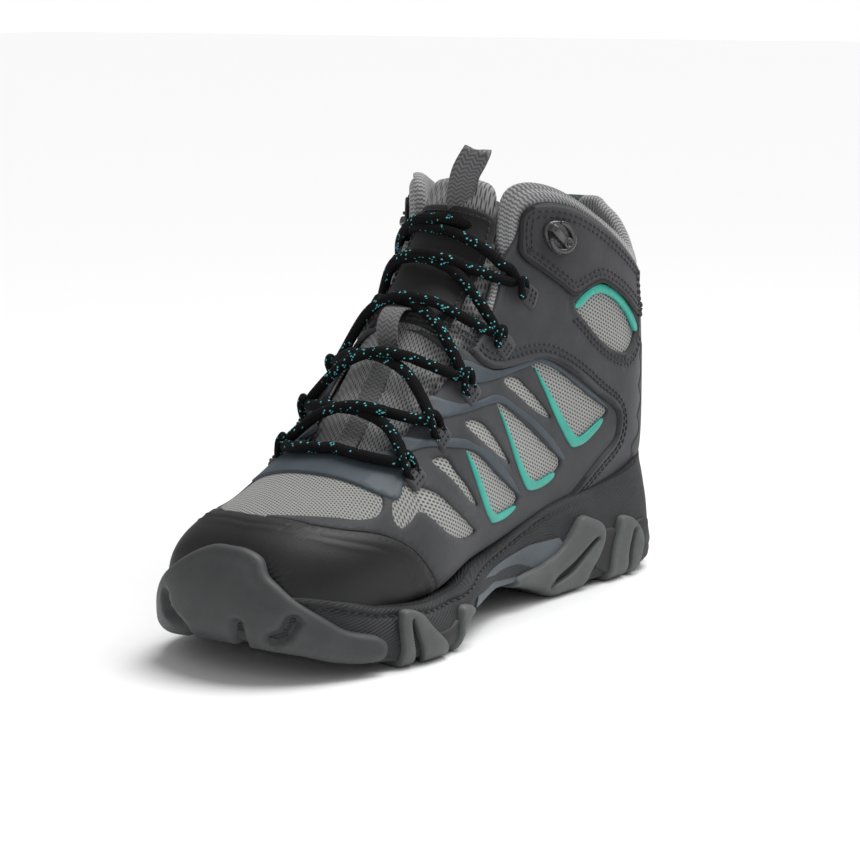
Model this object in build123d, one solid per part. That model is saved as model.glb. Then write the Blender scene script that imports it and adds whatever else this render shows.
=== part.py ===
from build123d import *
from math import copysign, cos, pi, sin
import os

# A mid-cut hiking boot, right foot. Millimetres. Ground at z = 0, toe towards -Y,
# heel towards +Y, inner (medial) side towards +X. Origin under the middle of the sole.

# ---------------------------------------------------------------- driving dimensions
GLUE = 0.1               # gap between bonded layers
TRIM = 0.6               # welded film and coloured trim
OVERLAY = 1.2            # synthetic nubuck panels
MESH = 1.2               # woven mesh under the panels
PADDING = 2.4            # foam and stiffeners
LINING = 1.0             # textile lining
SECTION_POINTS = 20      # points round one cross-section

# levels through the upper, measured outwards from the face of the main panels
PANEL_IN = -OVERLAY
MESH_OUT = PANEL_IN - GLUE
MESH_IN = MESH_OUT - MESH
PAD_OUT = MESH_IN - GLUE
PAD_IN = PAD_OUT - PADDING
LINING_OUT = PAD_IN - GLUE
LINING_IN = LINING_OUT - LINING

# cross-sections from toe to collar: top centre, bottom centre, half widths on the
# inner and outer side, height fraction of the widest level, fullness below and above
STATIONS = [
    (0.03, (4, -137, 49), (4, -138, 23), 19, 23, 0.45, 2.1, 2.1),
    (0.08, (3, -129, 58), (3, -131, 18), 31, 38, 0.42, 2.3, 2.3),
    (0.16, (3, -113, 65), (2, -115, 15), 41, 47, 0.40, 2.6, 2.4),
    (0.27, (2, -87, 73), (1, -87, 14), 47, 51, 0.38, 2.8, 2.4),
    (0.38, (1, -60, 86), (0, -54, 16), 50, 51, 0.36, 2.8, 2.4),
    (0.50, (-2, -37, 107), (-1, -14, 23), 47, 48, 0.34, 2.6, 2.5),
    (0.62, (-5, -13, 131), (-1, 34, 27), 43, 44, 0.32, 2.6, 2.5),
    (0.72, (-7, 5, 149), (0, 90, 29), 41, 42, 0.40, 2.7, 2.4),
    (0.80, (-9, 18, 163), (1, 137, 46), 41, 42, 0.50, 2.8, 2.3),
    (0.88, (-10, 27, 175), (2, 142, 92), 41, 42, 0.50, 2.6, 2.3),
    (1.00, (-10, 33, 190), (3, 139, 174), 42, 45, 0.50, 2.3, 2.4),
    (1.10, (-10, 37, 204), (3, 136, 188), 43, 46, 0.50, 2.3, 2.4),
]

# sole plan, inner side first, and its side profiles as (y, z)
SOLE_PLAN = [(5, -145), (30, -135), (45, -114), (53.4, -88), (56.6, -66), (51, -34), (42, -5),
             (39, 25), (40, 60), (43, 97), (39, 128), (3, 148), (-32, 130), (-42, 98),
             (-44, 60), (-46, 20), (-50, -20), (-54.8, -55), (-56.4, -90), (-50, -120), (-30, -139)]
SOLE_CENTRE = (0, -2)
FEATHER_LINE = [(-160, 42), (-134, 37), (-113, 31), (-99, 27), (-70, 24), (-44, 25), (-23, 30),
                (1, 33), (26, 39), (45, 43), (85, 46), (104, 48), (126, 53), (160, 63)]
TREAD_LINE = [(-160, 26), (-143, 14), (-125, 7), (-105, 2), (-88, 0), (-56, 0), (-46, 8),
              (-30, 13), (14, 11), (36, 5), (48, 0), (118, 0), (135, 4), (160, 16)]
TREAD_DEPTH = 3.5
RUBBER = 3.5
BAND = 3.0               # how far the lugs stand out from the sidewall

# lacing: station and fraction round the section of each inner-side loop
LOOPS = [(0.375, 31), (0.475, 32), (0.585, 33), (0.70, 33), (0.795, 34)]
LACE_RADIUS = 2.4
LACE_LIFT = 3.6          # lace centre above the tongue
LACE_REACH = 24          # half span of the strands that lie on the tongue

HINGE = (-64, 80)        # tongue hinge line, y and z

FAR = 200                # longer than anything in the boot


# ---------------------------------------------------------------- general helpers
def outline(points, smooth):
    if smooth:
        return make_face(Spline(*points, periodic=True))
    return make_face(Polyline(*points, close=True))


def side_cut(points, side, smooth=False, start=0.0, depth=FAR):
    """A (y, z) outline swept sideways from x = start; side is 1 inner, -1 outer."""
    sheet = extrude(Plane.YZ * outline(points, smooth), depth)
    sheet = Pos(start, 0, 0) * sheet
    return sheet if side > 0 else mirror(sheet, about=Plane.YZ)


def through_cut(points, smooth=False):
    """A (y, z) outline swept right through the boot."""
    return Pos(-FAR, 0, 0) * extrude(Plane.YZ * outline(points, smooth), 2 * FAR)


def plan_cut(points, smooth=False, low=-20.0, high=FAR):
    """An (x, y) outline swept upwards."""
    return Pos(0, 0, low) * extrude(Plane.XY * outline(points, smooth), high - low)


def solids_of(shape, least=4.0):
    """The solids of a result that are big enough to be real pieces."""
    return [piece for piece in shape.solids() if piece.volume > least]


def keep_big(shape, least=4.0):
    return Compound(children=solids_of(shape, least))


def join(shapes):
    total = shapes[0]
    for shape in shapes[1:]:
        total = total + shape
    return total


# ---------------------------------------------------------------- the last
def blend_station(s):
    """Section values at s, straight between the two nearest stations."""
    low = max((k for k in STATIONS[:-1] if k[0] <= s), default=STATIONS[0])
    high = min((k for k in STATIONS[1:] if k[0] > low[0]))
    u = (s - low[0]) / (high[0] - low[0])
    top = Vector(*low[1]) * (1 - u) + Vector(*high[1]) * u
    bottom = Vector(*low[2]) * (1 - u) + Vector(*high[2]) * u
    rest = [a * (1 - u) + b * u for a, b in zip(low[3:], high[3:])]
    return top, bottom, rest


def section(station, grow):
    """One closed cross-section, moved outwards by grow."""
    s, top, bottom, inner, outer, waist, low_power, high_power = station
    top = Vector(*top)
    bottom = Vector(*bottom)
    up = (top - bottom).normalized()
    top = top + up * grow
    bottom = bottom - up * grow
    forward = Vector(0, -grow * max(0, 1 - s / 0.12), 0)
    points = []
    for index in range(SECTION_POINTS):
        angle = 2 * pi * index / SECTION_POINTS
        power = 2 / (low_power if cos(angle) > 0 else high_power)
        rise = abs(cos(angle)) ** power
        height = waist - waist * rise if cos(angle) > 0 else waist + (1 - waist) * rise
        width = (inner if sin(angle) >= 0 else outer) + grow
        across = copysign(width * abs(sin(angle)) ** power, sin(angle))
        points.append(bottom + (top - bottom) * height + Vector(across, 0, 0) + forward)
    return Wire([Edge.make_spline(points, periodic=True)])


def last(grow):
    """The whole boot shape as one solid, grown outwards, open height above the rim."""
    return Solid.make_loft([section(station, grow) for station in STATIONS])


def crown(s, across, lift):
    """A point over the instep: across from the centre line, lift above the panels."""
    top, bottom, (inner, outer, waist, low_power, high_power) = blend_station(s)
    up = (top - bottom).normalized()
    width = inner if across >= 0 else outer
    rise = (1 - min(abs(across) / width, 0.999) ** high_power) ** (1 / high_power)
    height = waist + (1 - waist) * rise
    normal = Vector(0, -0.72, 0.69)
    return bottom + up * ((top - bottom).length * height) + Vector(across, 0, 0) + normal * lift


# ---------------------------------------------------------------- outlines of the panels
# All (y, z), drawn for the inner side and mirrored for the outer side.
CAP_EDGE = [(-118, 64), (-107, 60), (-91, 56), (-77, 48), (-64, 35), (-52, 20)]
ANKLE_EDGE = [(-14, 132), (-2, 122), (6, 115), (20, 111), (45, 111), (59, 103), (84, 89),
              (103, 79), (107, 71), (101, 62), (88, 54), (65, 45), (45, 36)]
RIM_LINE = [(-60, 190), (20, 190), (36, 191), (54, 188), (74, 181), (97, 170), (113, 160),
            (123, 156), (131, 158), (136, 166), (139, 176), (170, 176)]
ROLL_LINE = [(20, 180), (44, 180), (59, 178), (70, 173), (82, 167), (98, 159), (116, 149),
             (150, 142)]
PATCH_LOW = [(116, 127), (96, 140), (85, 145), (67, 139), (48, 151), (40, 158)]
MESH_SHAPES = [
    [(-71, 70), (-54, 68), (-28, 49), (-47, 48), (-62, 60), (-78, 57), (-78, 65)],
    [(-48, 80), (-41, 80), (-31, 66), (-25, 57), (-40, 68)],
    [(-26, 80), (-12, 72), (2, 63), (13, 54), (8, 50), (-10, 50), (-18, 63)],
    [(-20, 92), (-9, 90), (-2, 83), (7, 70), (-5, 77)],
    [(5, 96), (19, 88), (34, 79), (52, 64), (46, 59), (26, 58), (15, 74)],
    [(15, 106), (27, 101), (44, 86), (23, 96)],
    [(34, 107), (56, 98), (80, 86), (79, 78), (66, 75), (48, 88)],
]
TEAL_SHAPES = [
    [(-27, 80), (-19, 63), (-11, 47), (0, 46), (12, 48), (12, 50), (-9, 50), (-17, 63)],
    [(5, 96), (15, 72), (22, 55), (33, 54), (50, 58), (50, 60), (25, 58), (16, 74)],
    [(31, 112), (47, 88), (62, 69), (73, 69), (84, 74), (84, 77), (65, 73), (49, 88)],
]
FILM_SHAPES = [
    [(-70, 73), (-60, 80), (-54, 71), (-40, 62), (-25, 50), (-24, 53), (-38, 65), (-50, 76),
     (-55, 84), (-66, 82)],
    [(-42, 88), (-28, 83), (-12, 75), (2, 66), (15, 56), (15, 59), (2, 69), (-12, 78),
     (-24, 86), (-36, 95)],
    [(-18, 103), (0, 99), (19, 91), (36, 81), (54, 66), (54, 69), (36, 84), (20, 94),
     (4, 103), (-12, 111)],
]
ANKLE_WINDOW = [(70, 135), (85, 138), (106, 127), (118, 118), (109, 108), (84, 120)]
ANKLE_TEAL = [(67, 136), (68, 140), (84, 142), (107, 131), (119, 122), (118, 119), (105, 128),
              (84, 138)]
VAMP_WINDOW = [(-36, -92), (-30, -77), (0, -79), (29, -77), (37, -85), (34, -97), (18, -111),
               (-14, -117), (-30, -106)]
HEEL_STAY = [(108, 45), (111, 60), (118, 70), (116, 84), (123, 95), (128, 108), (160, 108),
             (160, 45)]

# throat opening, in the tilted plane that faces the instep: x across, w up the instep
THROAT = [(-17, 0), (-24, 8), (-29, 40), (-35, 75), (-38, 110), (-39, 190), (14, 190),
          (16, 150), (22, 110), (25, 75), (26, 40), (24, 8), (18, 0)]
THROAT_PLANE = Plane(origin=(0, HINGE[0], HINGE[1]), x_dir=(1, 0, 0), z_dir=(0, -0.713, 0.701))


def through_throat(points):
    """An outline in the throat plane, swept through the instep only."""
    below = 45
    sheet = THROAT_PLANE * outline(points, smooth=False)
    return Pos(THROAT_PLANE.z_dir * -below) * extrude(sheet, 120)


def throat_cut(shrink=0.0, front=0.0):
    """The throat outline swept through the instep; shrink narrows it, front shortens it."""
    points = []
    for x, w in THROAT:
        centre = -4
        points.append((x - copysign(shrink, x - centre), max(w, front)))
    return through_throat(points)


def above(line):
    """Everything above a (y, z) line."""
    return through_cut(line + [(line[-1][0], FAR + 40), (line[0][0], FAR + 40)])


# ---------------------------------------------------------------- shared volumes
SKIN = {grow: last(grow) for grow in (
    TRIM, 0, PANEL_IN, MESH_OUT, MESH_IN, PAD_OUT, PAD_IN, LINING_OUT, LINING_IN)}
OPEN_TOP = above(RIM_LINE)
OPEN_THROAT = throat_cut()
ABOVE_ROLL = above(ROLL_LINE)
BEHIND_CAP = through_cut(CAP_EDGE + [(-52, -FAR), (FAR, -FAR), (FAR, FAR), (-118, FAR)])
BEHIND_ANKLE = through_cut(ANKLE_EDGE + [(45, -FAR), (FAR, -FAR), (FAR, FAR), (-14, FAR)])
INNER_HALF = Pos(FAR / 2 + GLUE / 2, 0, 0) * Box(FAR, 3 * FAR, 3 * FAR)
OUTER_HALF = mirror(INNER_HALF, about=Plane.YZ)
HALF = {1: INNER_HALF, -1: OUTER_HALF}
SIDE = {1: "medial", -1: "lateral"}


def layer(outside, inside):
    """One layer of the upper, with the throat and the collar open."""
    return SKIN[outside] - SKIN[inside] - OPEN_TOP - OPEN_THROAT


PANELS = layer(0, PANEL_IN)
MESHES = layer(MESH_OUT, MESH_IN) - ABOVE_ROLL
PADS = layer(PAD_OUT, PAD_IN) - ABOVE_ROLL
LININGS = layer(LINING_OUT, LINING_IN) - ABOVE_ROLL
TRIMS = SKIN[TRIM] - last(0.02) - OPEN_TOP - OPEN_THROAT
PROUD = last(TRIM + GLUE)


# ---------------------------------------------------------------- sole
def sole_prism(grow):
    cx, cy = SOLE_CENTRE
    points = [(cx + (x - cx) * (1 + grow / 50), cy + (y - cy) * (1 + grow / 145))
              for x, y in SOLE_PLAN]
    return plan_cut(points, smooth=True, low=-5, high=75)


def between(low_line, low_rise, high_line, high_rise):
    low = [(y, z + low_rise) for y, z in low_line]
    high = [(y, z + high_rise) for y, z in reversed(high_line)]
    return through_cut(low + high)


SOLE_CORE = sole_prism(0)
SOLE_BAND = sole_prism(BAND)
BAND_ZONE = (SOLE_BAND & between(TREAD_LINE, 0, FEATHER_LINE, 0)) - (
    SOLE_CORE & between(TREAD_LINE, TREAD_DEPTH - GLUE, FEATHER_LINE, 5))
SHANK_ZONE = [(-34, 14), (-28, 23), (-6, 26), (26, 29), (50, 28), (60, 19), (45, 10), (20, 14),
              (-6, 16)]
BUMPER_FRONT = [(-42, 13), (-40, 24), (-32, 36), (-21, 47), (-6, 54), (10, 54), (20, 50),
                (27, 41), (34, 32), (42, 24), (52, 18), (62, 12), (60, 5), (44, 9), (20, 14),
                (0, 13), (-22, 11)]
FOREFOOT_LUGS = [
    [(-91, 24), (-81, 22), (-75, 16), (-62, 5), (-62, -2), (-74, -2), (-82, 14), (-80, -2),
     (-92, -2)],
    [(-51, 17), (-43, 18), (-39, 15), (-44, 8), (-56, 1), (-56, -2), (-60, -2), (-54, 6)],
]
HEEL_LUGS = [
    [(68, 36), (76, 33), (84, 28), (83, 20), (76, 10), (70, 7), (50, -2), (42, 5), (20, 9),
     (16, 14), (38, 17), (54, 23), (62, 30)],
    [(98, 30), (106, 29), (114, 23), (117, 15), (113, 7), (104, -2), (88, -2), (90, 13),
     (95, 22)],
    [(121, 30), (131, 31), (141, 24), (141, 14), (128, 8), (122, 14)],
]
TREAD_CLEAR = 6          # gap between the side lugs and the middle blocks


def midsole():
    body = SOLE_CORE & between(TREAD_LINE, TREAD_DEPTH + RUBBER + GLUE, FEATHER_LINE, 0)
    return body - last(GLUE) - through_cut(SHANK_ZONE)


def outsole_base():
    low = between(TREAD_LINE, TREAD_DEPTH, TREAD_LINE, TREAD_DEPTH + RUBBER)
    return (SOLE_CORE & low) - through_cut(SHANK_ZONE)


def arch_shank():
    zone = sole_prism(1.0) & through_cut(SHANK_ZONE)
    return zone - last(GLUE)


def side_lugs(shapes, side):
    start = 12 + TREAD_CLEAR
    return join([BAND_ZONE & side_cut(shape, side, start=start) for shape in shapes])


def forefoot_lugs():
    return keep_big(side_lugs(FOREFOOT_LUGS, 1) + side_lugs(FOREFOOT_LUGS, -1))


def heel_lugs():
    lugs = side_lugs(HEEL_LUGS, 1) + side_lugs(HEEL_LUGS, -1)
    return keep_big(lugs - arch_shank())


def centre_tread():
    """Chevron blocks down the middle of the forefoot and the heel."""
    blocks = []
    starts = [-104 + 15 * index for index in range(4)] + [62 + 15 * index for index in range(4)]
    for y in starts:
        chevron = [(-12, y), (0, y - 7), (12, y), (12, y + 8), (0, y + 1), (-12, y + 8)]
        blocks.append(BAND_ZONE & plan_cut(chevron, low=-5, high=12))
    return keep_big(join(blocks))


def toe_bumper():
    front = Pos(0, -95, 0) * extrude(Plane.XZ * outline(BUMPER_FRONT, False), 60)
    outside = last(2.6) + (SOLE_BAND & between(TREAD_LINE, 0, FEATHER_LINE, -1))
    inside = SOLE_CORE & between(TREAD_LINE, TREAD_DEPTH - GLUE, FEATHER_LINE, 3)
    lugs = join([side_cut(shape, side) for shape in FOREFOOT_LUGS[:1] for side in (1, -1)])
    nose = outside & front
    return keep_big(nose - inside - PROUD - lugs, 200)


# ---------------------------------------------------------------- inside the boot
BOARD_TOP = [(-160, 30), (-100, 21), (-30, 21), (40, 29), (100, 38), (131, 54), (160, 50)]
ABOVE_BOARD = above(BOARD_TOP)
PUFF_ZONE = [(-100, 10), (-104, 90), (-160, 90), (-160, 10)]
COUNTER_ZONE = [(75, 30), (95, 95), (150, 105), (170, 100), (170, 20)]


def insole_board():
    return keep_big(PADS - above([(y, z - GLUE) for y, z in BOARD_TOP]), 100)


def padding(zone):
    return keep_big(PADS & through_cut(zone) & ABOVE_BOARD, 100)


def collar_foam(side):
    rest = (PADS & ABOVE_BOARD) - through_cut(COUNTER_ZONE) - through_cut(
        [(-70, -20), (-20, 80), (20, 120), (20, 90), (60, 60), (75, 30), (95, 95), (75, -20)]
    ) - through_cut([(-200, -20), (-200, 200), (-20, 200), (-20, 100), (60, 75), (80, -20)])
    return keep_big(rest & HALF[side], 100)


def footbed():
    top = [(-126, 31), (-100, 26), (-30, 26), (40, 34), (100, 43), (126, 58)]
    zone = through_cut([(-131, 0), (-131, 34)] + top + [(131, 62), (131, 0)])
    return last(LINING_IN - 0.8) & zone


# ---------------------------------------------------------------- upper
def vamp_mesh():
    front = through_cut([(-160, -10), (-160, 120), (-58, 120), (-58, -10)])
    return keep_big(MESHES & front, 100)


def quarter_mesh(side):
    rear = through_cut([(-57.8, -10), (-57.8, 240), (170, 240), (170, -10)])
    return keep_big((MESHES & rear) & HALF[side], 100)


def toe_cap():
    return keep_big(PANELS - BEHIND_CAP, 100)


def quarter_overlay(side):
    body = (PANELS & BEHIND_CAP & HALF[side]) - BEHIND_ANKLE - plan_cut(VAMP_WINDOW, True)
    for shape in MESH_SHAPES:
        body = body - side_cut(shape, side, start=15)
    return keep_big(body, 100)


def ankle_overlay(side):
    inset = [(y + 0.3, z + 0.1) for y, z in ANKLE_EDGE]
    zone = through_cut(inset + [(45, -FAR), (FAR, -FAR), (FAR, FAR), (-14, FAR)])
    body = (PANELS & zone & HALF[side]) - ABOVE_ROLL
    return keep_big(body - side_cut(ANKLE_WINDOW, side, smooth=True), 100)


def strips(shapes, side):
    return keep_big(join([TRIMS & side_cut(shape, side) for shape in shapes]))


def throat_rand():
    """Film round the front of the throat, over the top of the vamp mesh."""
    ring = plan_cut([(-36, -76), (-27, -80), (0, -81), (27, -80), (36, -76), (31, -60),
                     (-33, -60)], low=60)
    strips_over = side_cut(FILM_SHAPES[0], 1) + side_cut(FILM_SHAPES[0], -1)
    return keep_big((TRIMS & ring) - strips_over, 20)


def collar_patch(side):
    low = ROLL_LINE[:-1]
    outer = [(y, z - 0.3) for y, z in low] + PATCH_LOW + [(30, 171)]
    return keep_big((TRIMS & side_cut(outer, side, start=12)) - side_cut(ANKLE_TEAL, side), 100)


def heel_stay():
    above_sole = above([(y, z + 2 * GLUE) for y, z in FEATHER_LINE])
    return keep_big(TRIMS & through_cut(HEEL_STAY) & above_sole, 100)


def collar_roll():
    """Padded rim round the collar, open at the throat."""
    zone = above([(y, z + 0.2) for y, z in ROLL_LINE])
    return keep_big((SKIN[0] - SKIN[LINING_IN] - OPEN_TOP - OPEN_THROAT) & zone, 200)


# ---------------------------------------------------------------- tongue
TONGUE_TOP = -1.0
TONGUE_FACE = 1.0
TONGUE_BACK = -8.5
TONGUE_END = [(-100, 187), (100, 191)]


def tongue_slab(outside, inside):
    end = above(TONGUE_END)
    zone = throat_cut(shrink=1.2, front=3.0) - end
    return keep_big((last(outside) - last(inside)) & zone, 100)


def tongue_patch():
    zone = through_throat([(-27, 76), (13, 78), (12, 149), (-24, 149)])
    piece = last(TONGUE_TOP + 0.9) - last(TONGUE_TOP + GLUE)
    return keep_big(piece & zone, 50)


def gusset(side):
    """Thin bellows along the inside of one throat edge, for w between the two limits."""
    edge = [(x, w) for x, w in THROAT if 8 < w < 160 and x * side > 0]
    inner = [(x + side * 0.6, w) for x, w in edge]
    outer = [(x + side * 9, w) for x, w in reversed(edge)]
    sheet = last(LINING_IN - GLUE) - last(LINING_IN - GLUE - 0.9)
    return keep_big(sheet & through_throat(inner + outer), 20)


def ribbon(width, thick, points):
    """A webbing ribbon of the given width that follows a path."""
    path = Spline(*points)
    start = Plane(origin=path @ 0, x_dir=(1, 0, 0), z_dir=path % 0)
    return sweep(start * Rectangle(width, thick), path)


def tongue_pull_loop():
    return ribbon(14, 1.4, [(-9, 30, 191), (-6, 29.5, 199), (-1, 32, 208), (3, 36.5, 211),
                            (5, 40, 206), (4, 40, 195)])


def lace_keeper():
    arch = ribbon(11, 1.2, [crown(0.545, 0, -0.5), crown(0.60, 0, 8.5), crown(0.655, 0, -0.5)])
    return keep_big(arch - last(TONGUE_TOP + GLUE) - tongue_patch(), 20)


def heel_pull_loop():
    return ribbon(16, 1.6, [(-4, 138, 178.6), (-4, 139, 187), (-4, 134, 192), (-4, 129, 187),
                            (-4, 130, 179)])


# ---------------------------------------------------------------- lacing
def cord(points, radius=LACE_RADIUS):
    path = Spline(*points)
    start = Plane(origin=path @ 0, z_dir=path % 0)
    return sweep(start * Circle(radius), path)


def lace_strand(low, high, side, lift):
    """A strand across the tongue, from one side at low to the other side at high."""
    steps = [0, 0.25, 0.5, 0.75, 1]
    points = []
    for u in steps:
        across = side * LACE_REACH * (1 - 2 * u)
        rise = LACE_LIFT + lift * sin(pi * u)
        points.append(crown(low + (high - low) * u, across, rise))
    return cord(points)


def lace_rows():
    spots = [s for s, reach in LOOPS]
    strands = [lace_strand(spots[0] - 0.012, spots[0] - 0.012, 1, 0)]
    for low, high in zip(spots, spots[1:]):
        strands.append(lace_strand(low + 0.022, high - 0.022, 1, 0))
        strands.append(lace_strand(low + 0.022, high - 0.022, -1, 5.4))
    keeper = lace_keeper()
    return keep_big(Compound(children=[strand - keeper for strand in strands]), 100)


def lace_ends():
    """The turn of the lace through each loop, outside the tongue's width."""
    turns = []
    for s, reach in LOOPS:
        for side in (1, -1):
            outward = Vector(side * 3.4, 0, 0)
            near = [crown(s + step, side * (LACE_REACH + 1.8), LACE_LIFT + 1.2) + outward * 0.3
                    for step in (-0.018, 0.018)]
            far = crown(s, side * (reach - 1), LACE_LIFT + 1.4) + outward
            turns.append(cord([near[0], far, near[1]], LACE_RADIUS - 0.4))
    return Compound(children=turns)


def lace_loops(side):
    """Webbing loops sewn to the edge of the throat, one for each turn of the lace."""
    tabs = []
    for s, reach in LOOPS:
        outer = crown(s, side * (reach + 9), 0.9)
        middle = crown(s, side * (reach + 4), 3.0)
        inner = crown(s, side * (reach + 3.4), 8.5)
        start = Plane(origin=outer, x_dir=(0, 0.7, 0.714), z_dir=middle - outer)
        path = Polyline(outer, middle, inner)
        tabs.append(sweep(start * Rectangle(7, 1.2), path, transition=Transition.ROUND))
    return keep_big(Compound(children=tabs) - PROUD - lace_ends(), 5)


HOOK_SPOTS = {1: (31, 58, 167), -1: (-46.5, 58, 167)}
HOOK_NORMAL = {1: (0.93, -0.35, 0.1), -1: (-0.93, -0.35, 0.1)}


def hook_plane(side):
    return Plane(origin=HOOK_SPOTS[side], x_dir=(0, 0.2, 1), z_dir=HOOK_NORMAL[side])


def hook_part(shape, low):
    spots = [hook_plane(side).offset(low) * shape for side in (1, -1)]
    return Compound(children=spots)


def hook_washers():
    ring = extrude(Circle(8) - Circle(3), 1.2)
    return hook_part(ring, 4)


def lace_hooks():
    stem = extrude(Circle(4.5) - Circle(2.4), 2.5)
    wing = Pos(0, 0, 2.5) * extrude(SlotOverall(17, 8) - Circle(2.4), 2)
    lip = Pos(6.5, 0, 1.2) * Box(3, 8, 2.2)
    return hook_part(stem + wing + lip, 5.3)


def hook_rivets():
    shaft = extrude(Circle(2.2), 8.5)
    head = Pos(0, 0, 8.5) * extrude(Circle(3.8), 1.2)
    return hook_part(shaft + head, 1.5)


# ---------------------------------------------------------------- write the parts
def save(name, shape):
    solids = shape.solids()
    whole = solids[0] if len(solids) == 1 else Compound(children=list(solids))
    export_step(whole, f"parts/{name}.step")


def build():
    os.makedirs("parts", exist_ok=True)
    single = [midsole, outsole_base, arch_shank, forefoot_lugs, heel_lugs, centre_tread,
              toe_bumper, insole_board, footbed, vamp_mesh, toe_cap, throat_rand, heel_stay,
              collar_roll, tongue_patch, tongue_pull_loop, lace_keeper, heel_pull_loop,
              lace_rows, lace_ends, hook_washers, lace_hooks, hook_rivets]
    for make in single:
        save(make.__name__, make())
    paired = [collar_foam, quarter_mesh, quarter_overlay, ankle_overlay, collar_patch,
              gusset, lace_loops]
    for make in paired:
        for side in (1, -1):
            save(f"{make.__name__}_{SIDE[side]}", make(side))
    for side in (1, -1):
        save(f"film_strips_{SIDE[side]}", strips(FILM_SHAPES, side))
        save(f"teal_trims_{SIDE[side]}", strips(TEAL_SHAPES + [ANKLE_TEAL], side))
    save("toe_puff", padding(PUFF_ZONE))
    save("heel_counter", padding(COUNTER_ZONE))
    save("lining", keep_big(LININGS, 100))
    save("tongue_face", tongue_slab(TONGUE_TOP, TONGUE_TOP - TONGUE_FACE))
    save("tongue_foam", tongue_slab(TONGUE_TOP - TONGUE_FACE - GLUE, TONGUE_BACK + 1.1))
    save("tongue_lining", tongue_slab(TONGUE_BACK + 1, TONGUE_BACK))


build()
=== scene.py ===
from math import cos, pi, radians, sin

import bpy
import numpy as np
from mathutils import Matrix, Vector
from mathutils.geometry import delaunay_2d_cdt
from mathutils.kdtree import KDTree


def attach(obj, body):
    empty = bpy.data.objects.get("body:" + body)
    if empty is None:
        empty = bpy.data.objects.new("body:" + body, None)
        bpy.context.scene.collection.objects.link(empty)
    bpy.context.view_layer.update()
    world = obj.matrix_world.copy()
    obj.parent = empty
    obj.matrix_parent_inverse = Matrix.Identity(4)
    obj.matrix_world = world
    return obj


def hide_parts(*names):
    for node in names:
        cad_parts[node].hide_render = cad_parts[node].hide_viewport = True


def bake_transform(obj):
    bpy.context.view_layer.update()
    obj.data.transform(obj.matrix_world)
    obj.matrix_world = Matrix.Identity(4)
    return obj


# A mid-cut hiking boot. Shapes are worked out in millimetres and written in metres.
# +X is the inner side of the foot, -Y the toe, +Z up, and the ground is z = 0.

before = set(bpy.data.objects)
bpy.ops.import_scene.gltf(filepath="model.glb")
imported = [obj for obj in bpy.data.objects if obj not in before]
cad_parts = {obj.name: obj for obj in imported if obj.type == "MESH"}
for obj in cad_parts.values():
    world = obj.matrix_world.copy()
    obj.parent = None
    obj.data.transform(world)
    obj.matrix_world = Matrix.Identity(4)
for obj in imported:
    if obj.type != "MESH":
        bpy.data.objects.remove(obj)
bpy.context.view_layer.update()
MM = 0.001

# ---------------------------------------------------------------- driving sizes
# stations from toe to collar: s, top centre, bottom centre, half widths inner and outer,
# height fraction of the widest level, fullness below and above it
STATIONS = [
    (0.00, (4, -140, 36), (4, -140, 31), 3, 3, 0.50, 2.0, 2.0),
    (0.03, (4, -137, 49), (4, -138, 23), 19, 27, 0.45, 2.1, 2.1),
    (0.08, (3, -129, 58), (3, -131, 18), 31, 42, 0.42, 2.3, 2.3),
    (0.16, (3, -113, 65), (2, -115, 15), 41, 49, 0.40, 2.6, 2.4),
    (0.27, (2, -87, 73), (1, -87, 14), 47, 51, 0.38, 2.8, 2.4),
    (0.38, (1, -60, 86), (0, -54, 16), 50, 51, 0.36, 2.8, 2.4),
    (0.50, (-2, -37, 107), (-1, -14, 23), 47, 48, 0.34, 2.6, 2.5),
    (0.62, (-5, -13, 131), (-1, 34, 27), 43, 44, 0.32, 2.6, 2.5),
    (0.72, (-7, 5, 149), (0, 90, 29), 41, 42, 0.40, 2.7, 2.4),
    (0.80, (-9, 18, 163), (1, 142, 46), 43, 44, 0.50, 2.8, 2.3),
    (0.88, (-10, 27, 175), (2, 145, 92), 42, 43, 0.50, 2.6, 2.3),
    (1.00, (-10, 33, 190), (3, 138, 174), 42, 45, 0.50, 2.3, 2.4),
    (1.10, (-10, 37, 204), (3, 136, 188), 43, 46, 0.50, 2.3, 2.4),
]
SOLE_PLAN = [(5, -145), (30, -135), (45, -114), (53.4, -88), (56.6, -66), (51, -34), (42, -5),
             (39, 25), (40, 60), (43, 97), (40, 129.5), (3, 148), (-32, 130), (-42, 98),
             (-44, 60), (-46, 20), (-50, -20), (-54.8, -55), (-56.4, -90), (-50, -120), (-30, -139)]
FEATHER_LINE = [(-160, 37), (-134, 36), (-113, 31), (-99, 27), (-70, 24), (-44, 25), (-23, 30),
                (1, 33), (26, 39), (45, 43), (85, 46), (104, 48), (126, 53), (160, 63)]
TREAD_LINE = [(-160, 26), (-143, 14), (-125, 7), (-105, 2), (-88, 0), (-56, 0), (-46, 8),
              (-30, 13), (14, 11), (36, 5), (48, 0), (118, 0), (135, 4), (160, 16)]


# ---------------------------------------------------------------- curves
def running_length(points):
    """Distance travelled along a polyline at each of its points."""
    return np.concatenate([[0], np.cumsum(np.linalg.norm(np.diff(points, axis=0), axis=1))])


def unit(rows):
    """Each row scaled to length 1."""
    return rows / np.maximum(np.linalg.norm(rows, axis=-1, keepdims=True), 1e-9)


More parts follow.
